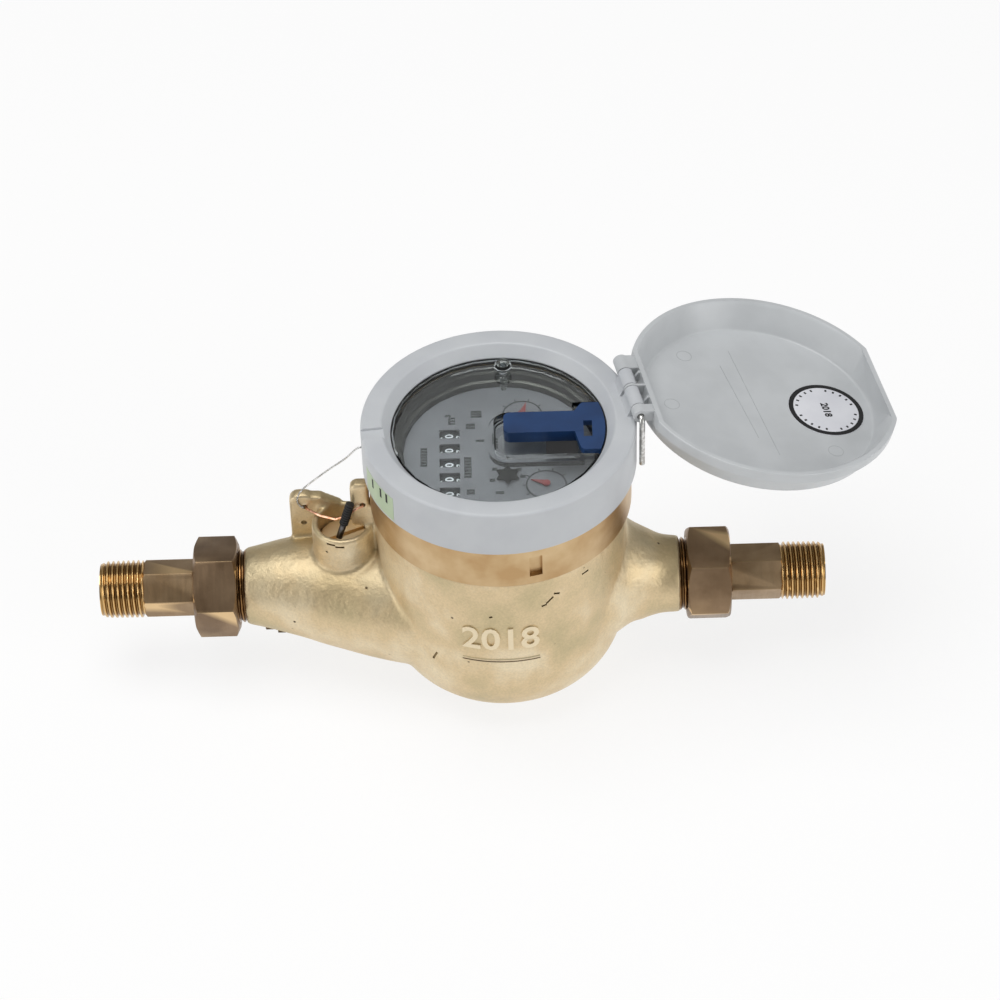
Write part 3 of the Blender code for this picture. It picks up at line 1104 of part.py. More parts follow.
def build_cap_ring():
    """Plastic ring over the head ring, with the hinge's fixed knuckles."""
    skirt = CAP_RADIUS - CAP_WALL
    ceiling = CAP_TOP_Z - CAP_CEILING
    lip = HEAD_TOP_Z + GAP
    cap = turned("cap_ring", [
        (CAP_MOUTH_RADIUS, CAP_MOUTH_Z), (CAP_FLAT_INNER_RADIUS, CAP_TOP_Z),
        (CAP_RADIUS - CAP_ROLL, CAP_TOP_Z), (CAP_RADIUS - CAP_ROLL * 0.3, CAP_TOP_Z - CAP_ROLL * 0.3),
        (CAP_RADIUS, CAP_TOP_Z - CAP_ROLL), (CAP_RADIUS, CAP_BOTTOM_Z), (skirt, CAP_BOTTOM_Z),
        (skirt, ceiling),
        (CAP_FLAT_INNER_RADIUS + 1.0 * MM, ceiling), (CAP_MOUTH_RADIUS + 1.5 * MM, lip),
        (CAP_MOUTH_RADIUS, lip)], STEPS_FINE, True)
    for number, (start, end) in enumerate(KNUCKLES):
        foot_bottom = CAP_TOP_Z - HINGE_Z - 0.8 * MM
        knuckle = barrel(f"knuckle_{number}", start, end)
        foot = plate(f"knuckle_foot_{number}", [
            (-KNUCKLE_FOOT, foot_bottom), (-BARREL_RADIUS + 0.6 * MM, 1.0 * MM),
            (0.0, BARREL_RADIUS - 0.5 * MM), (1.4 * MM, 0.0), (0.4 * MM, foot_bottom + 0.4 * MM),
            (-0.6 * MM, foot_bottom)],
            start + 0.05 * MM, end - 0.05 * MM)
        foot.matrix_world = (Matrix.Translation((0.0, (start + end) / 2, 0.0))
                             @ Matrix.Rotation(math.pi / 2, 4, "X"))
        bpy.context.view_layer.update()
        join(cap, to_world(knuckle, hinge_frame()), to_world(foot, hinge_frame()))
    cut(cap, to_world(barrel("knuckle_bore", -14 * MM, 18 * MM, PIN_RADIUS + GAP), hinge_frame()))
    groove = block("cap_groove",
                   (CAP_MOUTH_RADIUS - 3 * MM, -CAP_GROOVE_WIDTH / 2, CAP_TOP_Z - CAP_GROOVE_DEPTH),
                   (CAP_RADIUS + CUT, CAP_GROOVE_WIDTH / 2, CAP_TOP_Z + CUT))
    groove.matrix_world = Matrix.Rotation(math.radians(CAP_GROOVE_ANGLE), 4, "Z") @ groove.matrix_world
    cut(cap, groove)
    skirt_hole = rod("skirt_hole", SKIRT_HOLE_RADIUS, skirt - 2 * MM, CAP_RADIUS + 2 * MM, STEPS_HIDDEN)
    skirt_hole.rotation_euler = (0.0, -math.pi / 2, 0.0)
    skirt_hole.location = (-(skirt + CAP_RADIUS) / 2, 0.0, SKIRT_HOLE_Z)
    cut(cap, skirt_hole)
    place(cap, METER, GREY_PLASTIC)


def lid_outer_profile():
    """Outer profile of the closed lid, with the step under its top."""
    top = LID_RIM_Z + LID_HEIGHT
    step_z = LID_RIM_Z + LID_STEP_HEIGHT
    return [(0.0, top), (LID_TOP_RADIUS - 1.2 * MM, top), (LID_TOP_RADIUS, top - 1.0 * MM),
            (LID_RADIUS - LID_STEP - 0.6 * MM, step_z + 0.4 * MM), (LID_RADIUS - 0.3 * MM, step_z),
            (LID_RADIUS, LID_RIM_Z), (0.0, LID_RIM_Z)]


def lid_inner_profile():
    """Inner profile of the closed lid."""
    floor = LID_RIM_Z + LID_HEIGHT - LID_WALL
    return [(0.0, floor), (LID_TOP_RADIUS - LID_WALL - 0.9 * MM, floor),
            (LID_TOP_RADIUS - LID_WALL, floor - 0.9 * MM),
            (LID_RADIUS - LID_STEP - LID_WALL, LID_RIM_Z + 1.2 * MM), (LID_RADIUS - LID_WALL, LID_RIM_Z),
            (LID_RADIUS - LID_WALL, LID_RIM_Z - CUT), (0.0, LID_RIM_Z - CUT)]


def trim_flats(item, flat, tag):
    """Cuts the two flats of the lid, on the hinge's side and opposite."""
    for sign in (-1, 1):
        low, high = sorted((sign * flat, sign * (flat + 12 * MM)))
        cut(item, block(f"{tag}_{'hinge' if sign > 0 else 'front'}",
                        (low, -LID_RADIUS, LID_RIM_Z - 4 * MM),
                        (high, LID_RADIUS, LID_RIM_Z + LID_HEIGHT + 4 * MM)))


def build_lid():
    """The lid, made closed in its own frame and swung open."""
    lid = turned("lid", lid_outer_profile(), STEPS_FINE)
    trim_flats(lid, LID_FLAT, "lid_flat")
    hollow = turned("lid_hollow", lid_inner_profile(), STEPS_FINE)
    trim_flats(hollow, LID_FLAT - LID_WALL, "hollow_flat")
    axis_x = HINGE_RADIUS - LID_OFFSET
    wall = LID_FLAT - LID_WALL / 2
    sleeves = []
    for number, (start, end) in enumerate(LID_SLEEVES):
        sleeve = barrel(f"sleeve_{number}", start, end)
        sleeve.location = (axis_x, (start + end) / 2, HINGE_Z)
        web = block(f"sleeve_web_{number}", (wall, start + 0.05 * MM, HINGE_Z - BARREL_RADIUS + 0.3 * MM),
                    (axis_x, end - 0.05 * MM, HINGE_Z + BARREL_RADIUS - 0.6 * MM))
        sleeves += [sleeve, web]
    reach = axis_x - BARREL_RADIUS - GAP
    low, high = LID_RIM_Z + 0.4 * MM, HINGE_Z + 1.6 * MM
    # The ribs' sloping ends stay clear of the knuckles' feet
    slope = [(wall, low), (axis_x - KNUCKLE_FOOT + GAP, low), (reach, HINGE_Z - 0.2 * MM), (reach, high),
             (wall, high)]
    for number, middle in enumerate(LID_RIBS):
        sleeves.append(upright(f"lid_rib_{number}", slope, middle, RIB_THICKNESS))
    join(lid, *sleeves)
    cut(lid, hollow)
    bore = barrel("sleeve_bore", -15 * MM, 19 * MM, PIN_RADIUS + GAP)
    bore.location = (axis_x, 2 * MM, HINGE_Z)
    cut(lid, bore)

    closed = (Matrix.Rotation(math.radians(HINGE_ANGLE), 4, "Z") @ Matrix.Translation((LID_OFFSET, 0.0, 0.0)))
    to_axis = Matrix.Translation((axis_x, 0.0, HINGE_Z))
    swing = closed @ to_axis @ Matrix.Rotation(math.radians(LID_OPEN_ANGLE), 4, "Y") @ to_axis.inverted()
    bpy.context.view_layer.update()
    made = [lid, hollow, *sleeves, bore]
    made += [item for item in METER.objects if item.name.startswith(("lid_flat", "hollow_flat"))]
    made += [item for item in CUTTERS.objects if item.name.startswith(("lid_flat", "hollow_flat"))]
    for item in set(made):
        item.matrix_world = swing @ item.matrix_world
    hinge = bpy.data.objects.new("lid_hinge", None)
    METER.objects.link(hinge)
    hinge.matrix_world = hinge_frame()
    lid.parent = hinge
    lid.matrix_parent_inverse = hinge_frame().inverted()
    place(lid, METER, GREY_PLASTIC)


def build_hinge_pin():
    """Steel pin through the hinge, its near end bent down beside the skirt."""
    near = LID_SLEEVES[-1][0] - 0.1 * MM
    points = [(0.0, LID_SLEEVES[0][1] - 0.2 * MM, 0.0), (0.0, near, 0.0)]
    for y, z in arc(near, -PIN_BEND, PIN_BEND, 90.0, 180.0, 5)[1:]:
        points.append((0.0, y, z))
    points.append((0.0, near - PIN_BEND, PIN_TAIL_Z - HINGE_Z))
    pin = wire("hinge_pin", points, PIN_RADIUS)
    pin.matrix_world = hinge_frame()
    place(curve_mesh(pin), METER, STEEL)


def build_seals():
    """Twisted seal wire, copper wire and the crimp that closes it."""
    skirt_x = -(CAP_RADIUS - CAP_WALL / 2)
    outer_x, outer_z = OUTER_LUG_HOLES[0]
    outer_face = OUTER_LUG_Y - LUG_THICKNESS / 2
    seal_y = outer_face - SEAL_WIRE_RADIUS - 0.1 * MM
    points = [(skirt_x, 0.0, SKIRT_HOLE_Z), (-49.8 * MM, 0.2 * MM, SKIRT_HOLE_Z - 0.8 * MM)]
    points += [tuple(value * MM for value in point) for point in SEAL_POINTS]
    points += [(outer_x - 1.6 * MM, seal_y, outer_z + 1.0 * MM), (outer_x - 0.5 * MM, seal_y, outer_z),
               (outer_x - 0.5 * MM, outer_face + 1.5 * MM, outer_z)]
    seal = wire("seal_wire", points, SEAL_WIRE_RADIUS)
    place(curve_mesh(seal), METER, STEEL)

    inner_x, inner_z = INNER_LUG_HOLE
    inner_face = INNER_LUG_Y - LUG_THICKNESS / 2
    points = [(outer_x + 0.5 * MM, outer_face + 1.5 * MM, outer_z),
              (outer_x + 0.5 * MM, outer_face - COPPER_WIRE_RADIUS - 0.1 * MM, outer_z - 0.2 * MM)]
    points += [tuple(value * MM for value in point) for point in COPPER_POINTS]
    points += [(inner_x, inner_face - COPPER_WIRE_RADIUS - 0.15 * MM, inner_z),
               (inner_x, inner_face + 1.5 * MM, inner_z)]
    copper = wire("copper_wire", points, COPPER_WIRE_RADIUS)
    place(curve_mesh(copper), METER, COPPER)


def build_crimp():
    """Seal crimp on the copper wire, leaning on the boss."""
    top, bottom = (Vector(end) * MM for end in CRIMP_ENDS)
    crimp = wire("seal_crimp", [top, top.lerp(bottom, 0.5), bottom], CRIMP_RADIUS)
    place(curve_mesh(crimp), METER, BLACK_RUBBER)


build_body()
build_regulator()
build_head_ring()
build_can()
build_crystal()
build_plug()
build_train()
build_register()
build_chamber()
build_strainer()
build_union("inlet", -1, INLET_END_X, NUT_TURNS[0], TAIL_HEX_TURNS[0])
build_union("outlet", 1, OUTLET_END_X, NUT_TURNS[1], TAIL_HEX_TURNS[1])
build_cap_ring()
build_lid()
build_hinge_pin()
build_seals()
build_crimp()

for piece in METER.objects:
    if piece.type == "MESH":
        smooth(piece)
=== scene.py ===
"""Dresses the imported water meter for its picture.

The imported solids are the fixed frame. The pieces that the eye meets first (the cast
body, the unions, the brass head ring, the plastic ring, the lid and the register) are
rebuilt here over their solids with finer surfaces, and every piece gets its finish.
"""

from __future__ import annotations

import json
import logging
import math
from dataclasses import dataclass
from enum import Enum
from typing import Any, Iterable, Sequence

import bmesh
import bpy
from mathutils import Matrix, Vector

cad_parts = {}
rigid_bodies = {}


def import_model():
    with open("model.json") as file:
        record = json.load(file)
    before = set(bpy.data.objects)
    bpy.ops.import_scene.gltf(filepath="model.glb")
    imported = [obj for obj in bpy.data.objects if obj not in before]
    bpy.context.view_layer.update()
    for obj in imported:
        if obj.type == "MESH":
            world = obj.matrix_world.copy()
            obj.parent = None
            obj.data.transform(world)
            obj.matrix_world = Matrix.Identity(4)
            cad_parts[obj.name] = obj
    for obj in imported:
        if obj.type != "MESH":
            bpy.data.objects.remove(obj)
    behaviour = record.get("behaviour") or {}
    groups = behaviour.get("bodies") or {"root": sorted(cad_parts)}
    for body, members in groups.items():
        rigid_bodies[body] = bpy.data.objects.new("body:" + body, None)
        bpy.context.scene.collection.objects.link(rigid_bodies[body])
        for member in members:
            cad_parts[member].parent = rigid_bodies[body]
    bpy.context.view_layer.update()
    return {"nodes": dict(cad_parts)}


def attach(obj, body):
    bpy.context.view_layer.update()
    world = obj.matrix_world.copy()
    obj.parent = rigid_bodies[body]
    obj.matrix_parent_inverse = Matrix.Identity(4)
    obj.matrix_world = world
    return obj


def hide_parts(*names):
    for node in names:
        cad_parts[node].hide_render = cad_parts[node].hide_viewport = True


LOG = logging.getLogger("water_meter")
MM = 0.001
ROOT = "meter_body"
Profile = Sequence[Sequence[float]]


class Side(Enum):
    """The two ports of the meter, by their direction along the pipe."""

    INLET = -1
    OUTLET = 1


# Meshes


def mesh_object(name: str, work: bmesh.types.BMesh) -> bpy.types.Object:
    """Puts a finished bmesh into the scene.

    Args:
        name: The object's name.
        work: The bmesh, which is freed.

    Returns:
        The new object.
    """
    mesh = bpy.data.meshes.new(name)
    work.to_mesh(mesh)
    work.free()
    made = bpy.data.objects.new(name, mesh)
    bpy.context.scene.collection.objects.link(made)
    return made


def skin(name: str, rows: Sequence[Sequence[Vector]], ring: bool = False,
         capped: bool = False) -> bpy.types.Object:
    """Skins closed rings of points in order.

    Args:
        name: The object's name.
        rows: Rings with equal numbers of points.
        ring: Whether the last ring joins the first.
        capped: Whether the two end rings get a face.

    Returns:
        A closed mesh object with outward faces.
    """
    work = bmesh.new()
    made = [[work.verts.new(point) for point in row] for row in rows]
    pairs = list(zip(made, made[1:]))
    if ring:
        pairs.append((made[-1], made[0]))
    for first, second in pairs:
        for i in range(len(first)):
            j = (i + 1) % len(first)
            work.faces.new((first[i], first[j], second[j], second[i]))
    if capped:
        work.faces.new(made[0])
        work.faces.new(made[-1])
    bmesh.ops.remove_doubles(work, verts=work.verts, dist=1e-7)
    bmesh.ops.dissolve_degenerate(work, edges=work.edges, dist=1e-8)
    bmesh.ops.recalc_face_normals(work, faces=work.faces)
    return mesh_object(name, work)


def rounded(profile: Profile, closed: bool = False, segments: int = 4) -> list[Vector]:
    """Rounds the corners of a profile.

    Args:
        profile: Points of (radius, height) in mm, with a fillet radius as an optional third number.
        closed: Whether the profile is a loop.
        segments: Steps in each fillet.

    Returns:
        The points of the rounded profile, in metres.
    """
    made: list[Vector] = []
    last = len(profile) - 1
    for i, point in enumerate(profile):
        here = Vector(point[:2])
        fillet = point[2] if len(point) > 2 else 0.0
        if fillet == 0.0 or (not closed and i in (0, last)):
            made.append(here * MM)
            continue
        before = Vector(profile[i - 1][:2]) - here
        after = Vector(profile[(i + 1) % len(profile)][:2]) - here
        half = before.angle(after) / 2
        reach = min(fillet / math.tan(half), before.length * 0.49, after.length * 0.49)
        start = here + before.normalized() * reach
        end = here + after.normalized() * reach
        centre = here + (before.normalized() + after.normalized()).normalized() * (reach / math.cos(half))
        for k in range(segments + 1):
            on_chord = start.lerp(end, k / segments)
            made.append((centre + (on_chord - centre).normalized() * (start - centre).length) * MM)
    return made


def turned(name: str, profile: Profile, steps: int = 128, closed: bool = False) -> bpy.types.Object:
    """Turns a profile about Z.

    Args:
        name: The object's name.
        profile: Points of (radius, height[, fillet]) in mm, from one end of the axis to the other.
        steps: Steps round the axis.
        closed: Whether the profile is a loop that stays clear of the axis.

    Returns:
        The turned object.
    """
    rows = []
    for radius, height in rounded(profile, closed):
        angles = (2 * math.pi * i / steps for i in range(steps))
        rows.append([Vector((radius * math.cos(a), radius * math.sin(a), height)) for a in angles])
    return skin(name, rows, ring=closed)


def sweep(name: str, path: Sequence[Vector], radius: float, sides: int = 12) -> bpy.types.Object:
    """Draws a round rod along a path, in metres.

    Args:
        name: The object's name.
        path: The rod's middle line.
        radius: The rod's radius.
        sides: Points in each ring.

    Returns:
        The rod, with flat end caps.
    """
    rows = []
    across = path[1] - path[0]
    across = across.orthogonal().normalized()
    for i, point in enumerate(path):
        along = (path[min(i + 1, len(path) - 1)] - path[max(i - 1, 0)]).normalized()
        across = (across - along * across.dot(along)).normalized()
        third = along.cross(across)
        ring = []
        for k in range(sides):
            angle = 2 * math.pi * k / sides
            ring.append(point + (across * math.cos(angle) + third * math.sin(angle)) * radius)
        rows.append(ring)
    return skin(name, rows, capped=True)


def curved(points: Sequence[Sequence[float]], per_span: int = 8) -> list[Vector]:
    """Draws a smooth line through points.

    Args:
        points: Points in mm.
        per_span: Steps between two points.

    Returns:
        Points of the line, in metres.
    """
    ends = [Vector(p) * MM for p in points]
    ends = [ends[0] * 2 - ends[1], *ends, ends[-1] * 2 - ends[-2]]
    line = []
    for a, b, c, d in zip(ends, ends[1:], ends[2:], ends[3:]):
        for k in range(per_span):
            t = k / per_span
            line.append(0.5 * ((2 * b) + (c - a) * t + (2 * a - 5 * b + 4 * c - d) * t * t
                               + (3 * b - a - 3 * c + d) * t * t * t))
    line.append(ends[-2])
    return line


def plate(name: str, outline: Iterable[Sequence[float]], bottom: float, top: float) -> bpy.types.Object:
    """Extrudes a flat outline between two heights.

    Args:
        name: The object's name.
        outline: Corners in mm.
        bottom: Lower height in mm.
        top: Upper height in mm.

    Returns:
        The plate.
    """
    corners = list(outline)
    rows = [[Vector((x, y, height)) * MM for x, y in corners] for height in (bottom, top)]
    return skin(name, rows, capped=True)


def wrapped(item: bpy.types.Object, radius: float, middle: float, height: float) -> bpy.types.Object:
    """Wraps a flat piece round Z like a label.

    Args:
        item: A piece that lies in the XY plane, with its thickness upward.
        radius: Radius of its back in mm.
        middle: Direction of its middle in degrees.
        height: Height of its middle in mm.

    Returns:
        The piece.
    """
    for vertex in item.data.vertices:
        across, up, out = vertex.co
        angle = math.radians(middle) + across / (radius * MM)
        reach = radius * MM + out
        vertex.co = (reach * math.cos(angle), reach * math.sin(angle), height * MM + up)
    item.data.update()
    return item


def band(name: str, radius: float, depth: float, start: float, end: float, low: float, high: float,
         steps: int = 32) -> bpy.types.Object:
    """A thin strip round Z between two directions in degrees and two heights in mm.

    Args:
        name: The strip's name.
        radius: Its inner radius in mm.
        depth: Its thickness in mm.
        start: First direction in degrees.
        end: Last direction in degrees.
        low: Lower height in mm.
        high: Upper height in mm.
        steps: Faces along it.

    Returns:
        The closed strip.
    """
    rows = []
    for i in range(steps + 1):
        angle = math.radians(start + (end - start) * i / steps)
        out = Vector((math.cos(angle), math.sin(angle), 0.0))
        rows.append([(out * reach + Vector((0.0, 0.0, height))) * MM for reach, height in (
            (radius, low), (radius + depth, low), (radius + depth, high), (radius, high))])
    return skin(name, rows, capped=True)


def hoop(name: str, x: float, y: float, radius: float, width: float, bottom: float,
         top: float) -> bpy.types.Object:
    """A thin flat ring about a point, between two heights in mm.

    Args:
        name: The hoop's name.
        x: Middle along the pipe in mm.
        y: Middle across it in mm.
        radius: Outer radius in mm.
        width: Its width in mm.
        bottom: Lower height in mm.
        top: Upper height in mm.

    Returns:
        The closed hoop.
    """
    inner = radius - width
    item = turned(name, [(radius, top), (radius, bottom), (inner, bottom), (inner, top)], 48, True)
    return moved(item, Matrix.Translation((x * MM, y * MM, 0)))


def painted(item: bpy.types.Object, material: bpy.types.Material) -> bpy.types.Object:
    """Gives one part of a joined piece its material."""
    item.data.materials.append(material)
    return item


def box(name: str, low: Sequence[float], high: Sequence[float]) -> bpy.types.Object:
    """Makes a cutter box between two corners in mm."""
    corners = [(low[0], low[1]), (high[0], low[1]), (high[0], high[1]), (low[0], high[1])]
    return plate(name, corners, low[2], high[2])


def arc(x: float, y: float, radius: float, start: float, end: float, count: int) -> list[tuple[float, float]]:
    """Points on an arc in mm, with its angles in degrees."""
    angles = (math.radians(start + (end - start) * i / count) for i in range(count + 1))
    return [(x + radius * math.cos(a), y + radius * math.sin(a)) for a in angles]


def moved(item: bpy.types.Object, matrix: Matrix) -> bpy.types.Object:
    """Moves an object's mesh and gives the object back.

    Args:
        item: The object.
        matrix: Where its mesh goes.

    Returns:
        The same object.
    """
    item.data.transform(matrix)
    item.data.update()
    return item


def along_pipe(item: bpy.types.Object, side: Side) -> bpy.types.Object:
    """Lays a piece that was turned about Z along the pipe, with its top towards a port."""
    turn = Matrix.Rotation(side.value * math.pi / 2, 4, "Y")
    return moved(item, Matrix.Translation((0, 0, CastBody.pipe_z * MM)) @ turn)


def bake(item: bpy.types.Object) -> bpy.types.Object:
    """Applies an object's modifiers to its mesh.

    Args:
        item: The object.

    Returns:
        The same object.
    """
    graph = bpy.context.evaluated_depsgraph_get()
    mesh = bpy.data.meshes.new_from_object(item.evaluated_get(graph))
    item.modifiers.clear()
    item.data = mesh
    return item


def combine(item: bpy.types.Object, tools: Iterable[bpy.types.Object], operation: str) -> bpy.types.Object:
    """Joins or cuts closed meshes one after another.

    Args:
        item: The piece that stays.
        tools: Closed meshes, which are removed.
        operation: UNION, DIFFERENCE or INTERSECT.

    Returns:
        The piece.
    """
    used = list(tools)
    for tool in used:
        step = item.modifiers.new("combine", "BOOLEAN")
        step.operation = operation
        step.solver = "MANIFOLD"
        step.object = tool
    bake(item)
    for tool in used:
        bpy.data.objects.remove(tool, do_unlink=True)
    return item


def smooth(item: bpy.types.Object, angle: float = 32.0, bevel: float = 0.0) -> bpy.types.Object:
    """Shades a piece smooth between its real edges.

    Args:
        item: The piece.
        angle: Edges over this many degrees stay sharp.
        bevel: Width in mm of a rounding on those edges.

    Returns:
        The piece.
    """
    if bevel:
        step = item.modifiers.new("edges", "BEVEL")
        step.width = bevel * MM
        step.segments = 2
        step.limit_method = "ANGLE"
        step.angle_limit = math.radians(angle)
        step.harden_normals = False
        bake(item)
    item.data.shade_smooth()
    item.data.set_sharp_from_angle(angle=math.radians(angle))
    return item


def lettering(name: str, text: str, height: float, thickness: float = 0.06,
              weight: float = 0.0) -> bpy.types.Object:
    """Makes plain digits or letters as a thin mesh, centred, in metres.

    Args:
        name: The object's name.
        text: What it reads.
        height: Height of a capital in mm.
        thickness: Thickness in mm.
        weight: How much bolder than the plain font each edge is, in mm.

    Returns:
        The text lying in the XY plane, with its back at height 0.
    """
    curve = bpy.data.curves.new(name, "FONT")
    curve.body = text
    curve.size = height * MM / 0.7
    curve.extrude = thickness / 2 * MM
    curve.offset = weight * MM
    curve.align_x = "CENTER"
    curve.align_y = "CENTER"
    curve.resolution_u = 3
    source = bpy.data.objects.new(name, curve)
    bpy.context.scene.collection.objects.link(source)
    bpy.context.view_layer.update()
    graph = bpy.context.evaluated_depsgraph_get()
    mesh = bpy.data.meshes.new_from_object(source.evaluated_get(graph))
    bpy.data.objects.remove(source, do_unlink=True)
    made = bpy.data.objects.new(name, mesh)
    bpy.context.scene.collection.objects.link(made)
    return moved(made, Matrix.Translation((0, 0, thickness / 2 * MM)))


def joined(name: str, items: Sequence[bpy.types.Object]) -> bpy.types.Object:
    """Merges several meshes, with their materials, into one object.

    Args:
        name: The merged object's name.
        items: Meshes, which are removed.

    Returns:
        The merged object.
    """
    work = bmesh.new()
    materials: list[bpy.types.Material] = []
    for item in items:
        start = len(work.faces)
        work.from_mesh(item.data)
        work.faces.ensure_lookup_table()
        here = [m for m in item.data.materials]
        for face in work.faces[start:]:
            material = here[face.material_index] if here else None
            if material is not None and material not in materials:
                materials.append(material)
            face.material_index = materials.index(material) if material is not None else 0
    made = mesh_object(name, work)
    for material in materials:
        made.data.materials.append(material)
    for item in items:
        bpy.data.objects.remove(item, do_unlink=True)
    return made


def seat(item: bpy.types.Object, body: str, material: bpy.types.Material | None = None,
         stands_for: Sequence[str] = ()) -> bpy.types.Object:
    """Hands a finished piece to the frame.

    Args:
        item: The piece, in place.
        body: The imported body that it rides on.
        material: Its finish, where its mesh has none yet.
        stands_for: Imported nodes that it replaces.

    Returns:
        The piece.
    """
    if material is not None:
        item.data.materials.clear()
        item.data.materials.append(material)
    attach(item, body)
    if stands_for:
        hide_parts(*stands_for)
    LOG.info("%s: %d faces on %s", item.name, len(item.data.polygons), body)
    return item


# Finishes


def linear(code: str) -> tuple[float, float, float, float]:
    """Turns an sRGB hex colour into linear values with an alpha of 1.

    Args:
        code: Such as #C0A889.

    Returns:
        Red, green, blue and alpha.
    """
    parts = [int(code[i:i + 2], 16) / 255 for i in (1, 3, 5)]
    r, g, b = (p / 12.92 if p <= 0.04045 else ((p + 0.055) / 1.055) ** 2.4 for p in parts)
    return r, g, b, 1.0


def node(tree: bpy.types.NodeTree, kind: str, settings: dict[str, Any] | None = None,
         inputs: dict[str | int, Any] | None = None) -> bpy.types.Node:
    """Adds one node to a material.

    Args:
        tree: The material's tree.
        kind: Blender's name of the node.
        settings: Attributes to set; "stops" gives a ramp's (place, hex colour) pairs.
        inputs: A value, or an output to link, for each named input.

    Returns:
        The node.
    """
    made = tree.nodes.new(kind)
    for key, value in (settings or {}).items():
        if key == "stops":
            ramp = made.color_ramp
            while len(ramp.elements) < len(value):
                ramp.elements.new(0.5)
            for element, (place, colour) in zip(ramp.elements, value):
                element.position = place
                element.color = linear(colour)
        else:
            setattr(made, key, value)
    for key, value in (inputs or {}).items():
        if isinstance(value, bpy.types.NodeSocket):
            tree.links.new(value, made.inputs[key])
        else:
            made.inputs[key].default_value = value
    return made


def blank(name: str, roughness: float, metallic: float = 0.0, **fixed: Any) -> bpy.types.Material:
    """Starts a material with its fixed shader values.

    Args:
        name: The material's name.
        roughness: The shader's roughness.
        metallic: The shader's metallic value.
        fixed: Other shader inputs, by name with underscores.

    Returns:
        The material.
    """
    made = bpy.data.materials.new(name)
    made.use_nodes = True
    shader = made.node_tree.nodes["Principled BSDF"]
    shader.inputs["Roughness"].default_value = roughness
    shader.inputs["Metallic"].default_value = metallic
    for key, value in fixed.items():
        shader.inputs[key.replace("_", " ")].default_value = value
    return made


def grain(tree: bpy.types.NodeTree, size_mm: float, detail: float = 2.0,
          stretch: tuple[float, float, float] = (1.0, 1.0, 1.0)) -> bpy.types.NodeSocket:
    """Noise over the object's own millimetres.

    Args:
        tree: The material's tree.
        size_mm: Size of one grain.
        detail: Finer layers on top of it.
        stretch: Factors along X, Y and Z.

    Returns:
        The noise's factor.
    """
    place = node(tree, "ShaderNodeTexCoord")
    scaled = node(tree, "ShaderNodeMapping", inputs={"Vector": place.outputs["Object"], "Scale": stretch})
    noise = node(tree, "ShaderNodeTexNoise", inputs={
        "Vector": scaled.outputs["Vector"], "Scale": 1 / (size_mm * MM), "Detail": detail})
    return noise.outputs["Fac"]


def wear(tree: bpy.types.NodeTree, low: float, high: float) -> bpy.types.NodeSocket:
    """Finds edges: 0 in hollows and on flats, 1 on sharp crests, between two values of pointiness.

    Args:
        tree: The material's tree.
        low: Pointiness that gives 0.
        high: Pointiness that gives 1.

    Returns:
        The share of wear.
    """
    form = node(tree, "ShaderNodeNewGeometry")
    return node(tree, "ShaderNodeMapRange", inputs={
        "Value": form.outputs["Pointiness"], "From Min": low, "From Max": high}).outputs["Result"]


def blend(tree: bpy.types.NodeTree, share: bpy.types.NodeSocket, low: Any, high: Any,
          how: str = "MIX") -> bpy.types.NodeSocket:
    """Mixes two colours, each a hex code or an output, by a share.

    Args:
        tree: The material's tree.
        share: 0 gives the first colour and 1 the second.
        low: The first colour.
        high: The second colour.
        how: Blender's name of the mix.

    Returns:
        The mixed colour.
    """
    first, second = (linear(c) if isinstance(c, str) else c for c in (low, high))
    return node(tree, "ShaderNodeMix", {"data_type": "RGBA", "blend_type": how},
                {"Factor": share, 6: first, 7: second}).outputs[2]


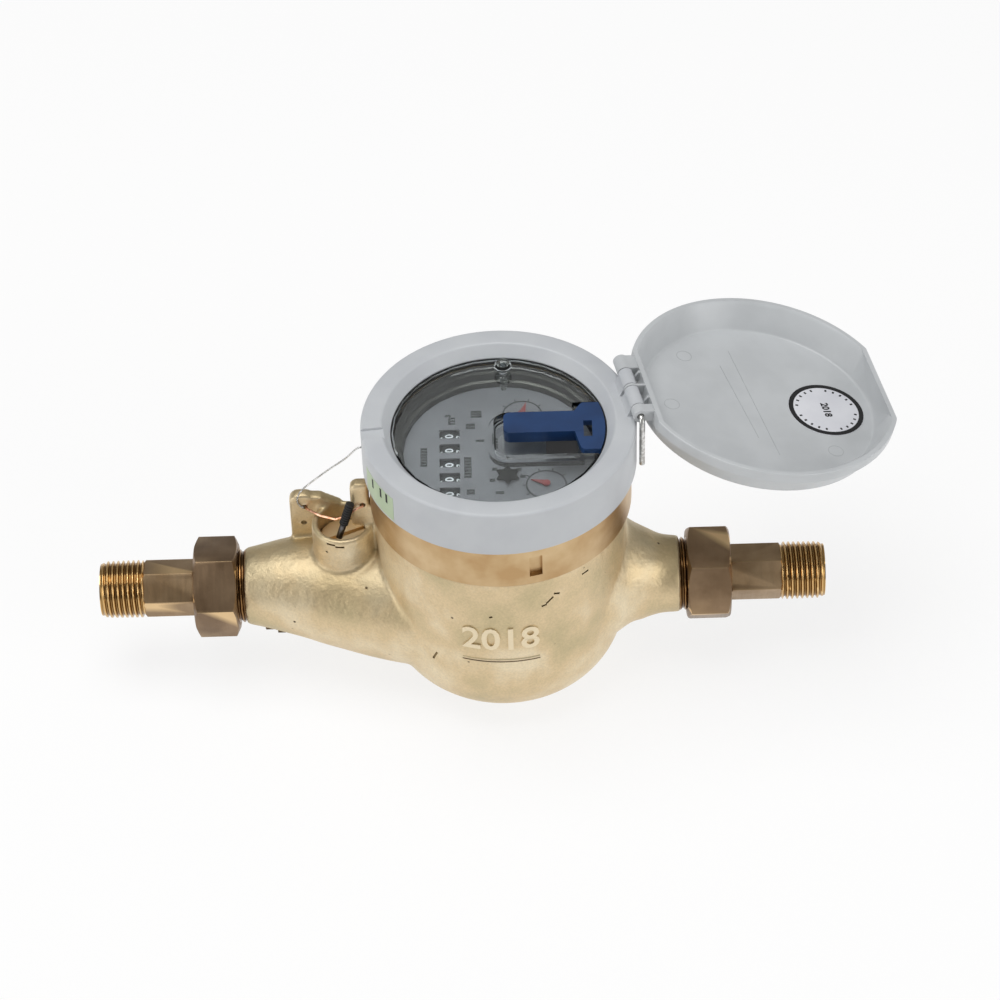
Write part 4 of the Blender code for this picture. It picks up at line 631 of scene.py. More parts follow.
@dataclass(frozen=True)
class CastBrass:
    """Sand-cast brass, blasted and left bare.

    The eye gets a pale satin skin with the sand's print, an olive film and painted shade on what
    faces up, brighter crests, hollows darkened with dirt and painted shade, and a few dark pits.
    """

    pale: str = "#EADABA"
    warm: str = "#DEC8A1"
    dull: str = "#CBBA93"
    # dirt and painted shade for the hollows
    grime: str = "#8C7750"
    oxide: str = "#93835A"    # olive film and painted shade on what faces up
    pit: str = "#574630"
    skin_mm: float = 0.8      # the sand's print, drawn as coarse as it shows at this distance
    patch_mm: float = 24.0
    wave_mm: float = 5.0
    film_mm: float = 12.0
    pit_mm: float = 8.0

    def build(self) -> bpy.types.Material:
        """Makes the material.

        Returns:
            The material.
        """
        made = blank("cast_brass", 0.45, 0.75)
        tree = made.node_tree
        shader = tree.nodes["Principled BSDF"]
        patches = node(tree, "ShaderNodeValToRGB",
                       {"stops": ((0.34, self.dull), (0.5, self.warm), (0.64, self.pale))},
                       {"Fac": grain(tree, self.patch_mm, 5.0)})
        sand = grain(tree, self.skin_mm, 3.0)
        speck = node(tree, "ShaderNodeMapRange", inputs={
            "Value": sand, "From Min": 0.3, "From Max": 0.7, "To Min": 0.9, "To Max": 1.05})
        skin_colour = blend(tree, 1.0, patches.outputs["Color"], speck.outputs["Result"], "MULTIPLY")
        place = node(tree, "ShaderNodeTexCoord")
        cells = node(tree, "ShaderNodeTexVoronoi", {"feature": "F1"}, {
            "Vector": place.outputs["Object"], "Scale": 1 / (self.pit_mm * MM)})
        near = node(tree, "ShaderNodeMapRange", inputs={
            "Value": cells.outputs["Distance"], "From Min": 0.03, "From Max": 0.08,
            "To Min": 1.0, "To Max": 0.0})
        some = node(tree, "ShaderNodeMath", {"operation": "GREATER_THAN"},
                    {0: cells.outputs["Color"], 1: 0.6})
        pits = node(tree, "ShaderNodeMath", {"operation": "MULTIPLY"}, {
            0: near.outputs["Result"], 1: some.outputs["Value"]}).outputs["Value"]
        bump = node(tree, "ShaderNodeBump", inputs={"Height": sand, "Strength": 0.5, "Distance": 0.12 * MM})
        waves = node(tree, "ShaderNodeBump", inputs={
            "Height": grain(tree, self.wave_mm, 3.0), "Strength": 0.6, "Distance": 0.8 * MM,
            "Normal": bump.outputs["Normal"]})
        holes = node(tree, "ShaderNodeBump", {"invert": True}, {
            "Height": pits, "Strength": 0.8, "Distance": 0.4 * MM, "Normal": waves.outputs["Normal"]})
        rough = node(tree, "ShaderNodeMapRange", inputs={"Value": sand, "To Min": 0.36, "To Max": 0.56})
        worn = blend(tree, wear(tree, 0.52, 0.6), skin_colour, self.pale)
        # Painted shade with dirt: the hollows, found by low pointiness, turn dark.
        hollows = blend(tree, wear(tree, 0.4, 0.49), self.grime, worn)
        # Olive film and painted shade: what faces up turns olive in cloudy patches.
        form = node(tree, "ShaderNodeNewGeometry")
        facing = node(tree, "ShaderNodeSeparateXYZ", inputs={"Vector": form.outputs["Normal"]})
        upward_film_and_shade = node(tree, "ShaderNodeMapRange", inputs={
            "Value": facing.outputs["Z"], "From Min": 0.15, "From Max": 0.85, "To Max": 0.45})
        cloudy = node(tree, "ShaderNodeMath", {"operation": "MULTIPLY"}, {
            0: upward_film_and_shade.outputs["Result"], 1: grain(tree, self.film_mm, 4.0)})
        share = node(tree, "ShaderNodeMath", {"operation": "MULTIPLY", "use_clamp": True},
                     {0: cloudy.outputs[0], 1: 2.0})
        with_film_and_shade = blend(tree, share.outputs[0], hollows, self.oxide)
        tree.links.new(blend(tree, pits, with_film_and_shade, self.pit), shader.inputs["Base Color"])
        tree.links.new(rough.outputs["Result"], shader.inputs["Roughness"])
        tree.links.new(holes.outputs["Normal"], shader.inputs["Normal"])
        return made


@dataclass(frozen=True)
class TurnedBrass:
    """Brass turned on a lathe: fine rings from the tool, a warm stain and bright worn edges."""

    name: str
    bright: str
    stain: str
    edge: str
    roughness: float
    ring_mm: float = 0.45     # drawn coarser than the tool's real feed, so that it shows
    along: tuple[float, float, float] = (0.04, 0.04, 1.0)
    cloud_mm: float = 16.0
    dent_mm: float = 4.0

    def build(self) -> bpy.types.Material:
        """Makes the material.

        Returns:
            The material.
        """
        made = blank(self.name, self.roughness, 1.0)
        tree = made.node_tree
        shader = tree.nodes["Principled BSDF"]
        rings = grain(tree, self.ring_mm, 1.0, self.along)
        cloud = node(tree, "ShaderNodeValToRGB", {"stops": ((0.36, self.stain), (0.64, self.bright))},
                     {"Fac": grain(tree, self.cloud_mm, 4.0)})
        rough = node(tree, "ShaderNodeMapRange", inputs={
            "Value": rings, "To Min": self.roughness - 0.06, "To Max": self.roughness + 0.1})
        bump = node(tree, "ShaderNodeBump", inputs={"Height": rings, "Strength": 0.18, "Distance": 0.05 * MM})
        dents = node(tree, "ShaderNodeBump", inputs={
            "Height": grain(tree, self.dent_mm, 2.0), "Strength": 0.4, "Distance": 0.18 * MM,
            "Normal": bump.outputs["Normal"]})
        worn = blend(tree, wear(tree, 0.53, 0.6), cloud.outputs["Color"], self.edge)
        tree.links.new(worn, shader.inputs["Base Color"])
        tree.links.new(rough.outputs["Result"], shader.inputs["Roughness"])
        tree.links.new(dents.outputs["Normal"], shader.inputs["Normal"])
        return made


@dataclass(frozen=True)
class CutThread:
    """A freshly cut brass thread: gold crests with a painted highlight, valleys in painted shade."""

    name: str = "cut_brass_thread"
    # The crest colour is a painted highlight and the valley colour painted shade.
    crest: str = "#FBDDA6"
    flank: str = "#C9A064"
    valley: str = "#3C2B19"

    def build(self) -> bpy.types.Material:
        """Makes the material.

        Returns:
            The material.
        """
        made = blank(self.name, 0.2, 1.0)
        tree = made.node_tree
        shader = tree.nodes["Principled BSDF"]
        # Painted shade in the valleys and a painted highlight on the crests, by pointiness.
        low = blend(tree, wear(tree, 0.44, 0.52), self.valley, self.flank)
        tree.links.new(blend(tree, wear(tree, 0.52, 0.6), low, self.crest), shader.inputs["Base Color"])
        tarnish = node(tree, "ShaderNodeMapRange", inputs={
            "Value": grain(tree, 1.2, 2.0), "To Min": 0.14, "To Max": 0.3})
        tree.links.new(tarnish.outputs["Result"], shader.inputs["Roughness"])
        return made


@dataclass(frozen=True)
class MouldedPlastic:
    """Injection-moulded ABS: even colour, a faint spark-eroded grain and a soft sheen."""

    name: str
    colour: str
    shade: str
    roughness: float = 0.42
    grain_mm: float = 0.35
    depth_mm: float = 0.02

    def build(self) -> bpy.types.Material:
        """Makes the material.

        Returns:
            The material.
        """
        made = blank(self.name, self.roughness, IOR=1.53)
        tree = made.node_tree
        shader = tree.nodes["Principled BSDF"]
        colour = node(tree, "ShaderNodeValToRGB", {"stops": ((0.35, self.shade), (0.6, self.colour))},
                      {"Fac": grain(tree, 16.0, 4.0)})
        bump = node(tree, "ShaderNodeBump", inputs={
            "Height": grain(tree, self.grain_mm, 1.0), "Strength": 0.4, "Distance": self.depth_mm * MM})
        tree.links.new(colour.outputs["Color"], shader.inputs["Base Color"])
        tree.links.new(bump.outputs["Normal"], shader.inputs["Normal"])
        return made


@dataclass(frozen=True)
class DrawnMetal:
    """Sheet or wire metal: smooth, with faint streaks from the die."""

    name: str
    colour: str
    streak: str
    roughness: float = 0.3
    streak_mm: float = 1.4
    along: tuple[float, float, float] = (1.0, 1.0, 1.0)

    def build(self) -> bpy.types.Material:
        """Makes the material.

        Returns:
            The material.
        """
        made = blank(self.name, self.roughness, 1.0)
        tree = made.node_tree
        shader = tree.nodes["Principled BSDF"]
        colour = node(tree, "ShaderNodeValToRGB", {"stops": ((0.4, self.streak), (0.6, self.colour))},
                      {"Fac": grain(tree, self.streak_mm, 3.0, self.along)})
        tree.links.new(colour.outputs["Color"], shader.inputs["Base Color"])
        return made


@dataclass(frozen=True)
class Polycarbonate:
    """Clear polycarbonate: a glossy window that lets the light through to the dial."""

    name: str = "clear_polycarbonate"
    tint: str = "#EEF3F2"

    def build(self) -> bpy.types.Material:
        """Makes the material.

        Returns:
            The material.
        """
        made = blank(self.name, 0.03, IOR=1.58, Transmission_Weight=1.0)
        tree = made.node_tree
        shader = tree.nodes["Principled BSDF"]
        output = tree.nodes["Material Output"]
        shader.inputs["Base Color"].default_value = linear(self.tint)
        waves = node(tree, "ShaderNodeBump", inputs={
            "Height": grain(tree, 11.0, 1.0), "Strength": 0.25, "Distance": 0.2 * MM})
        tree.links.new(waves.outputs["Normal"], shader.inputs["Normal"])
        light = node(tree, "ShaderNodeLightPath")
        clear = node(tree, "ShaderNodeBsdfTransparent", inputs={"Color": linear(self.tint)})
        both = node(tree, "ShaderNodeMixShader", inputs={
            0: light.outputs["Is Shadow Ray"], 1: shader.outputs["BSDF"], 2: clear.outputs["BSDF"]})
        tree.links.new(both.outputs["Shader"], output.inputs["Surface"])
        return made


class Finishes:
    """All the finishes of the meter."""

    def __init__(self) -> None:
        """Builds every material once."""
        self.cast = CastBrass().build()
        # Dark brown for the casting flash, and painted shade round the cast year and under its line.
        self.grime = MouldedPlastic("casting_grime", "#6E5836", "#4F3D24", 0.7).build()
        self.head = TurnedBrass("turned_brass", "#D5BB92", "#BC9A6E", "#E4CBA2", 0.36).build()
        on_pipe = (1.0, 0.05, 0.05)
        self.nut = TurnedBrass("tarnished_bronze", "#9C8368", "#7F6850", "#E3C394", 0.37, 0.7,
                               on_pipe).build()
        self.tail = TurnedBrass("drawn_bronze_bar", "#B29878", "#957B5C", "#E6C594", 0.37, 0.7,
                                on_pipe).build()
        self.thread = CutThread().build()
        # A darker copy of the cut thread for the port's turns beside the nut.
        self.port = CutThread("old_brass_thread", "#B98F5C", "#85643F", "#3A2A1B").build()
        self.ring = MouldedPlastic("grey_abs", "#C2C5C8", "#BCBFC3").build()
        self.lid = MouldedPlastic("lid_abs", "#C2C5C7", "#BBBEC0", 0.34).build()
        self.mark = MouldedPlastic("scuffed_abs", "#B1B4B6", "#A8ABAD", 0.5).build()
        self.rubber = MouldedPlastic("nitrile_rubber", "#1B1B1C", "#121213", 0.6).build()
        self.blue = MouldedPlastic("blue_polypropylene", "#193C6B", "#14325C", 0.4).build()
        self.roller = MouldedPlastic("black_acetal", "#2E2F32", "#232426", 0.4).build()
        self.white = MouldedPlastic("white_acetal", "#B9BCBE", "#AEB1B4", 0.4).build()
        # The dial's light grey is darkened here as painted shade for the deep well it sits in.
        self.dial = MouldedPlastic("dial_enamel", "#6B6A70", "#5F5E64", 0.45).build()
        self.paper = MouldedPlastic("white_label", "#DDDEE3", "#D3D4DA", 0.5).build()
        self.ink = MouldedPlastic("black_ink", "#0E0E10", "#09090A", 0.6).build()
        self.red = MouldedPlastic("red_acetal", "#8E2A2C", "#782022", 0.4).build()
        self.green = MouldedPlastic("pale_green_label", "#BCCBAE", "#AFC0A0", 0.5).build()
        self.can = DrawnMetal("dark_sheet_steel", "#454441", "#1D1D1B", 0.24, 1.6, (0.03, 0.03, 1.0)).build()
        self.grey_metal = DrawnMetal("zinc_die_cast", "#6F6E70", "#4A494B", 0.3).build()
        self.steel = DrawnMetal("steel_wire", "#E2E2E0", "#B5B4B0", 0.3).build()
        self.copper = DrawnMetal("copper_wire", "#EDBBA0", "#CC9474", 0.3).build()
        self.clear = Polycarbonate().build()


# The meter


@dataclass
class CastBody:
    """The casting: bowl, branches, ports, regulator boss and seal lugs."""

    pipe_z: float = 36.4
    bowl_radius: float = 43.8
    bowl_round: float = 28.4
    foot_radius: float = 18.0
    shoulder_radius: float = 44.5
    shoulder_z: float = 77.7
    neck_radius: float = 42.6
    neck_top_z: float = 100.0
    mouth_radius: float = 38.4
    wall: float = 3.6
    ledge: tuple[float, float, float] = (29.8, 35.0, 38.0)
    voxel: float = 0.8
    inlet_sections: tuple[tuple[float, ...], ...] = (
        (-92.8, 13.7, 13.7, 13.7), (-86.0, 15.2, 15.4, 15.3), (-80.0, 16.4, 17.2, 16.9),
        (-72.0, 17.3, 19.9, 19.0), (-66.0, 17.8, 22.5, 20.7), (-58.5, 18.3, 24.9, 22.9),
        (-48.0, 19.4, 27.6, 26.5), (-38.0, 21.0, 29.2, 29.6), (-33.0, 21.6, 29.0, 31.3),
        (-28.0, 22.0, 28.4, 32.4))
    outlet_sections: tuple[tuple[float, ...], ...] = (
        (32.0, 28.8, 18.6, 28.0), (38.0, 28.2, 18.3, 24.8), (41.0, 26.2, 17.5, 22.4),
        (44.0, 23.4, 16.2, 19.8), (46.7, 21.3, 15.4, 17.9), (49.5, 19.4, 15.3, 16.9),
        (52.3, 17.9, 14.6, 15.6), (57.0, 15.2, 13.9, 14.1), (63.5, 13.8, 13.7, 13.7))
    boss_x: float = -56.5
    boss_radius: float = 11.2
    boss_top_z: float = 67.5
    pocket_radius: float = 8.9
    pocket_z: float = 57.5
    lug_thickness: float = 4.6
    lug_hole: float = 1.1
    outer_y: float = 10.3
    web: tuple[tuple[float, float], ...] = ((-68, 48), (-57, 48), (-57, 67.2), (-64.6, 71.6), (-68, 71.6))
    holes: tuple[tuple[float, ...], ...] = ((-70.2, 10.3, 67.3), (-70.9, 10.3, 59.6), (-48.9, 0.0, 77.2))
    flash: tuple[tuple[float, ...], ...] = (
        (-86.4, -11.3, 24.8, 3.4, 1.4), (-82.0, -12.2, 23.9, 3.2, 1.4))
    slots: tuple[tuple[float, float], ...] = ((-112.0, 65.9), (-95.0, 65.2))
    scars: tuple[tuple[float, ...], ...] = (
        (-68.8, 66.4, 3.6, 40.0), (-65.3, 68.6, 2.4, -20.0), (-71.5, 64.6, 2.0, 10.0),
        (-124.5, 35.0, 4.6, 65.0), (-22.8, 38.7, 3.2, 60.0), (-49.8, 72.2, 3.0, 4.0),
        (-96.0, 61.5, 1.2, 20.0))
    port_bore: float = 7.5
    thread_length: float = 8.0
    thread_pitch: float = 1.8
    thread_root: float = 12.5
    thread_crest: float = 13.2
    inlet_end: float = 99.8
    outlet_end: float = 70.3
    digits: str = "2018"
    digits_angle: float = -91.8
    digits_width: float = 27.0
    digits_z: float = 50.0
    digit_height: float = 10.0
    proud: float = 1.0
    line_span: float = 36.0
    line_z: float = 39.6

    def branch(self, name: str, sections: Sequence[Sequence[float]], steps: int = 64) -> bpy.types.Object:
        """Skins one branch smoothly through its sections.

        Args:
            name: The piece's name.
            sections: (x, reach above the axis, reach below it, half width) in mm.
            steps: Points in each section.

        Returns:
            The closed branch.
        """
        rows = []
        lines = curved([(x, above, below) for x, above, below, _ in sections], 5)
        widths = curved([(x, half, 0.0) for x, _, _, half in sections], 5)
        for (x, above, below), (_, half, _) in zip(lines, widths):
            ring = []
            for i in range(steps):
                angle = 2 * math.pi * i / steps
                reach = above if math.sin(angle) > 0 else below
                ring.append(Vector((x, half * math.cos(angle), self.pipe_z * MM + reach * math.sin(angle))))
            rows.append(ring)
        return skin(name, rows, capped=True)

    def upright(self, name: str, outline: Sequence[Sequence[float]], y: float) -> bpy.types.Object:
        """An upright plate as thick as a lug, from an outline in X and Z."""
        item = plate(name, outline, -self.lug_thickness / 2, self.lug_thickness / 2)
        return moved(item, Matrix.Translation((0, y * MM, 0)) @ Matrix.Rotation(math.pi / 2, 4, "X"))

    def lug(self, name: str, left: float, right: float, bottom: float, top: float, corner: float,
            y: float) -> bpy.types.Object:
        """One upright seal lug with a rounded top.

        Args:
            name: The lug's name.
            left: Left edge in mm.
            right: Right edge in mm.
            bottom: Lower edge in mm.
            top: Upper edge in mm.
            corner: Radius of its two upper corners in mm.
            y: Middle of its thickness in mm.

        Returns:
            The closed lug.
        """
        outline = [(left, bottom), (right, bottom), *arc(right - corner, top - corner, corner, 0, 90, 8),
                   *arc(left + corner, top - corner, corner, 90, 180, 8)]
        return self.upright(name, outline, y)

    def cavity(self) -> bpy.types.Object:
        """The hollow that the measuring chamber and the register sit in.

        Returns:
            The hollow as a closed cutter.
        """
        centre = self.bowl_radius - self.bowl_round
        wall = self.bowl_radius - self.wall
        inner = self.bowl_round - self.wall
        low = [(centre + inner * math.cos(a), self.bowl_round - inner * math.sin(a))
               for a in (math.radians(9 * i) for i in range(11))]
        ledge_radius, ledge_bottom, ledge_top = self.ledge
        return turned("cavity", [
            (0.0, self.neck_top_z + 1), (self.mouth_radius, self.neck_top_z + 1), (self.mouth_radius, 80.0),
            (wall, 77.6), (wall, ledge_top), (ledge_radius, ledge_top), (ledge_radius, ledge_bottom),
            (wall, ledge_bottom - 1.5), *low, (0.0, low[-1][1])], 96)

    def build(self, finishes: Finishes) -> None:
        """Casts the body in one skin, with soft roots where its forms meet.

        Args:
            finishes: The meter's finishes.
        """
        centre = self.bowl_radius - self.bowl_round
        low = [(centre + self.bowl_round * math.cos(a), self.bowl_round - self.bowl_round * math.sin(a))
               for a in (math.radians(6 * i) for i in range(15))]
        body = turned("cast_body", [
            (0.0, self.neck_top_z), (self.neck_radius, self.neck_top_z), (self.neck_radius, self.shoulder_z),
            (self.shoulder_radius, self.shoulder_z, 0.8), (self.shoulder_radius, self.shoulder_z - 14), *low,
            (self.foot_radius, 0.0), (0.0, 0.0)], 128)
        boss = turned("boss", [(0.0, self.boss_top_z), (self.boss_radius, self.boss_top_z, 0.8),
                               (self.boss_radius, 40.0), (0.0, 40.0)], 64)
        moved(boss, Matrix.Translation((self.boss_x * MM, 0, 0)))
        ports = []
        for side, end, start in ((Side.INLET, self.inlet_end, 90.0), (Side.OUTLET, self.outlet_end, 61.0)):
            spigot = turned("spigot", [(0.0, end - 7.2), (self.thread_crest, end - 7.2),
                                       (self.thread_crest, start), (0.0, start)], 64)
            ports.append(along_pipe(spigot, side))
        combine(body, [self.branch("inlet_branch", self.inlet_sections),
                       self.branch("outlet_branch", self.outlet_sections), boss, *ports,
                       self.lug("outer_lug", -75.7, -66.8, 46.0, 72.6, 3.4, self.outer_y),
                       self.upright("lug_web", self.web, self.outer_y)], "UNION")
        pocket = turned("pocket", [(0.0, 90.0), (self.pocket_radius, 90.0),
                                   (self.pocket_radius, self.pocket_z, 0.6), (0.0, self.pocket_z)], 64)
        combine(body, [moved(pocket, Matrix.Translation((self.boss_x * MM, 0, 0)))], "DIFFERENCE")
        inner_lug = self.lug("inner_lug", -53.2, -41.5, 66.6, 86.6, 2.4, 0.0)
        clear = turned("clear", [(0.0, 101.0), (46.5, 101.0), (46.5, 76.7), (0.0, 76.7)], 96)
        combine(body, [combine(inner_lug, [clear], "DIFFERENCE")], "UNION")
        remesh = body.modifiers.new("cast", "REMESH")
        remesh.mode = "VOXEL"
        remesh.voxel_size = self.voxel * MM
        soften = body.modifiers.new("roots", "SMOOTH")
        soften.factor = 0.5
        soften.iterations = 5
        bake(body)
        tools = [self.cavity()]
        for angle, height, length, slant in self.scars:
            scar = box("scar", (self.bowl_radius - 0.3, -length / 2, -0.4),
                       (self.bowl_radius + 1, length / 2, 0.4))
            place = Matrix.Translation((0, 0, height * MM)) @ Matrix.Rotation(math.radians(angle), 4, "Z")
            tools.append(moved(scar, place @ Matrix.Rotation(math.radians(slant), 4, "X")))
        for angle, height in self.slots:
            slot = box("slot", (self.boss_radius - 0.8, -1.6, height - 0.4),
                       (self.boss_radius + 1, 1.6, height + 0.4))
            lean = Matrix.Rotation(math.radians(angle), 4, "Z")
            tools.append(moved(slot, Matrix.Translation((self.boss_x * MM, 0, 0)) @ lean))
        for side, end in ((Side.INLET, self.inlet_end), (Side.OUTLET, self.outlet_end)):
            bore = turned("bore", [(0.0, end + 1), (self.port_bore, end + 1), (self.port_bore, end - 36),
                                   (0.0, end - 36)], 48)
            tools.append(along_pipe(bore, side))
        for x, y, z in self.holes:
            hole = turned("hole", [(0.0, 4.0), (self.lug_hole, 4.0), (self.lug_hole, -4.0), (0.0, -4.0)], 24)
            place = Matrix.Translation(Vector((x, y, z)) * MM)
            tools.append(moved(hole, place @ Matrix.Rotation(math.pi / 2, 4, "X")))
        combine(body, tools, "DIFFERENCE")
        smooth(body, 50.0)
        seat(body, ROOT, finishes.cast, ["body_casting"])
        for side, end in ((Side.INLET, self.inlet_end), (Side.OUTLET, self.outlet_end)):
            self.port_thread(side, end, finishes)
        self.number(finishes)
        fins = [painted(box("fin", (x, y, z), (x + length, y + size, z + size)), finishes.grime)
                for x, y, z, length, size in self.flash]
        flash = smooth(joined("casting_flash", fins), 30.0, 0.3)
        seat(flash, ROOT)

    def number(self, finishes: Finishes) -> None:
        """The year cast on the bowl's front, over a raised line.

        Args:
            finishes: The meter's finishes.
        """
        parts = []
        # The second, bolder and lower copy of the digits, in the dark finish, is painted shade round their
        # foot.
        for weight, proud, finish in ((0.25, self.proud, finishes.cast), (0.75, 0.14, finishes.grime)):
            digits = lettering("digits", self.digits, self.digit_height, proud + 0.4, weight)
            sink = Matrix.Translation((0, 0, -0.4 * MM))
            moved(digits, sink @ Matrix.Diagonal((self.digits_width * MM / digits.dimensions.x, 1, 1, 1)))
            parts.append(painted(wrapped(digits, self.bowl_radius, self.digits_angle, self.digits_z), finish))
        span = self.line_span / 2
        # The second line, lower and dark, is painted shadow under the raised line.
        for height, radius, finish in (
                (self.line_z, 0.6, finishes.cast), (self.line_z - 0.5, 0.62, finishes.grime)):
            path = [Vector((x, y, height)) * MM for x, y in arc(
                0, 0, self.bowl_radius, self.digits_angle - span, self.digits_angle + span, 40)]
            parts.append(painted(sweep("line", path, radius * MM), finish))
        seat(smooth(joined("cast_number", parts), 50.0), ROOT)

    def port_thread(self, side: Side, end: float, finishes: Finishes) -> None:
        """The threaded end of a port, whose last turns show behind the nut.

        Args:
            side: Which port.
            end: Distance of the port's face from the axis in mm.
            finishes: The meter's finishes.
        """
        item = threaded_tube(f"{side.name.lower()}_port_thread", end - self.thread_length, end,
                             self.thread_pitch, self.thread_root, self.thread_crest, self.port_bore)
        smooth(along_pipe(item, side), 40.0)
        seat(item, ROOT, finishes.port)


def threaded_tube(name: str, start: float, end: float, pitch: float, root: float, crest: float,
                  bore: float, steps: int = 64, taper: float = 0.0) -> bpy.types.Object:
    """A tube about Z with a helical outer thread.

    Args:
        name: The object's name.
        start: Height of its lower end in mm.
        end: Height of its upper end in mm.
        pitch: Distance between turns in mm.
        root: Radius at the root of the thread.
        crest: Radius at its crest, at the lower end.
        bore: Inner radius.
        steps: Points round the axis.
        taper: How much smaller the crest is at the upper end.

    Returns:
        The closed tube.
    """
    count = max(2, int((end - start) / pitch * 12))
    rows = []
    for k in range(count + 1):
        height = start + (end - start) * k / count
        share = k / count
        run_out = min(1.0, (end - height) / 2.2, (height - start) / 0.8)
        ring = []
        for i in range(steps):
            angle = 2 * math.pi * i / steps
            turn = (height / pitch - i / steps) % 1.0
            tooth = min(1.0, max(0.0, 1.35 - abs(turn - 0.5) * 3.6))
            radius = root + (crest - taper * share - root) * tooth * max(0.0, run_out)
            ring.append(Vector((radius * math.cos(angle), radius * math.sin(angle), height)) * MM)
        rows.append(ring)
    for height in (end, start):
        angles = (2 * math.pi * i / steps for i in range(steps))
        rows.append([Vector((bore * math.cos(a), bore * math.sin(a), height)) * MM for a in angles])
    return skin(name, rows, ring=True)


@dataclass
class HeadRing:
    """The turned brass ring that holds the crystal down."""

    radius: float = 46.2
    bottom: float = 78.0
    top: float = 108.3
    flange: float = 1.4
    mouth: float = 38.0
    bore: float = 43.0
    recess: tuple[float, float, float] = (4.6, 1.6, 9.0)
    angles: tuple[float, ...] = (-75.5, 104.5)

    def build(self, finishes: Finishes) -> None:
        """Turns the ring and cuts its spanner recesses.

        Args:
            finishes: The meter's finishes.
        """
        under = self.top - self.flange
        ring = turned("brass_head_ring", [
            (self.mouth, self.top), (self.radius, self.top, 0.8), (self.radius, self.bottom, 0.7),
            (self.bore, self.bottom, 0.3), (self.bore, under), (self.mouth, under)], 160, True)
        width, depth, height = self.recess
        tools = []
        for angle in self.angles:
            tool = box("recess", (self.radius - depth, -width / 2, self.bottom + 4),
                       (self.radius + 2, width / 2, self.bottom + 4 + height))
            tools.append(moved(tool, Matrix.Rotation(math.radians(angle), 4, "Z")))
        combine(ring, tools, "DIFFERENCE")
        seat(smooth(ring), ROOT, finishes.head, ["head_ring"])


@dataclass
class Union:
    """One port's nut and tailpiece."""

    side: Side
    port: float
    nut_turn: float
    hex_turn: float
    nut_flats: float = 31.5
    nut_length: float = 15.6
    overlap: float = 4.3
    flange: float = 4.0
    gasket: float = 2.0
    gap: float = 0.3
    bore: float = 7.0
    neck: float = 10.35
    collar: float = 13.0
    hex_flats: float = 17.8
    hex_length: float = 18.4
    thread_length: float = 15.4
    thread_root: float = 9.35
    thread_crest: float = 10.48
    thread_pitch: float = 1.814
    port_radius: float = 13.6

    def hexagon(self, name: str, flats: float, low: float, high: float, turn: float) -> bpy.types.Object:
        """A six-sided bar about Z, turned as it lies on the pipe.

        Args:
            name: The bar's name.
            flats: Width over the flats in mm.
            low: Near end in mm.
            high: Far end in mm.
            turn: Degrees about the pipe.

        Returns:
            The closed bar.
        """
        radius = flats / math.sqrt(3)
        angles = (math.radians(60 * i) for i in range(6))
        corners = [(radius * math.sin(a), radius * math.cos(a)) for a in angles]
        item = plate(name, corners, low, high)
        return moved(item, Matrix.Rotation(self.side.value * math.radians(turn), 4, "Z"))

    def build(self, finishes: Finishes) -> None:
        """Makes the nut and the tailpiece.

        Args:
            finishes: The meter's finishes.
        """
        name = self.side.name.lower()
        nut_near = self.port - self.overlap
        nut_far = nut_near + self.nut_length
        shoulder = nut_far - self.flange
        near = self.port + self.gap * 2 + self.gasket
        hex_near = nut_far + self.gap
        hex_far = hex_near + self.hex_length
        far = hex_far + self.thread_length
        corner = self.nut_flats / math.sqrt(3) + 0.3
        crest = self.nut_flats / 2

        nut = self.hexagon(f"{name}_union_nut", self.nut_flats, nut_near, nut_far, self.nut_turn)
        form = turned("nut_form", [
            (0.0, nut_far + 0.01), (crest - 0.4, nut_far + 0.01, 0.3), (corner, nut_far - 1.5),
            (corner, nut_near + 1.5), (crest - 0.4, nut_near - 0.01, 0.3), (0.0, nut_near - 0.01)])
        combine(nut, [form], "INTERSECT")
        hollow = turned("nut_hollow", [
            (0.0, nut_far + 1), (self.neck + 0.9, nut_far + 1), (self.neck + 0.4, nut_far - 0.6),
            (self.neck + 0.4, shoulder), (self.port_radius, shoulder), (self.port_radius, nut_near + 0.8),
            (self.port_radius + 0.8, nut_near - 0.05),
            (self.port_radius + 0.8, nut_near - 1), (0.0, nut_near - 1)], 96)
        combine(nut, [hollow], "DIFFERENCE")
        smooth(along_pipe(nut, self.side), 28.0, 0.25)
        seat(nut, f"{name}_nut_body", finishes.nut, [f"{name}_nut"])

        tail = turned(f"{name}_tail", [
            (self.bore, hex_far - 0.5), (self.thread_root - 0.9, hex_far - 0.5),
            (self.thread_root - 0.9, hex_near + 0.5), (self.neck, hex_near - 0.2, 0.2),
            (self.neck, shoulder - self.gap), (self.collar, shoulder - self.gap, 0.3),
            (self.collar, near, 0.3), (self.bore, near)], 96, True)
        bar = self.hexagon("bar", self.hex_flats, hex_near, hex_far, self.hex_turn)
        ends = self.hex_flats / 2
        shape = turned("bar_form", [
            (self.bore + 0.3, hex_far + 0.01), (ends + 0.1, hex_far + 0.01), (ends + 1.5, hex_far - 0.9),
            (ends + 1.5, hex_near + 0.5), (ends + 0.6, hex_near - 0.01),
            (self.bore + 0.3, hex_near - 0.01)], 96, True)
        combine(bar, [shape], "INTERSECT")
        combine(tail, [bar], "UNION")
        smooth(along_pipe(tail, self.side), 28.0, 0.2)
        seat(tail, ROOT, finishes.tail, [f"{name}_tailpiece"])
        thread = threaded_tube(f"{name}_tail_thread", hex_far - 0.4, far, self.thread_pitch, self.thread_root,
                               self.thread_crest, self.bore, 96, 0.25)
        smooth(along_pipe(thread, self.side), 60.0)
        seat(thread, ROOT, finishes.thread)


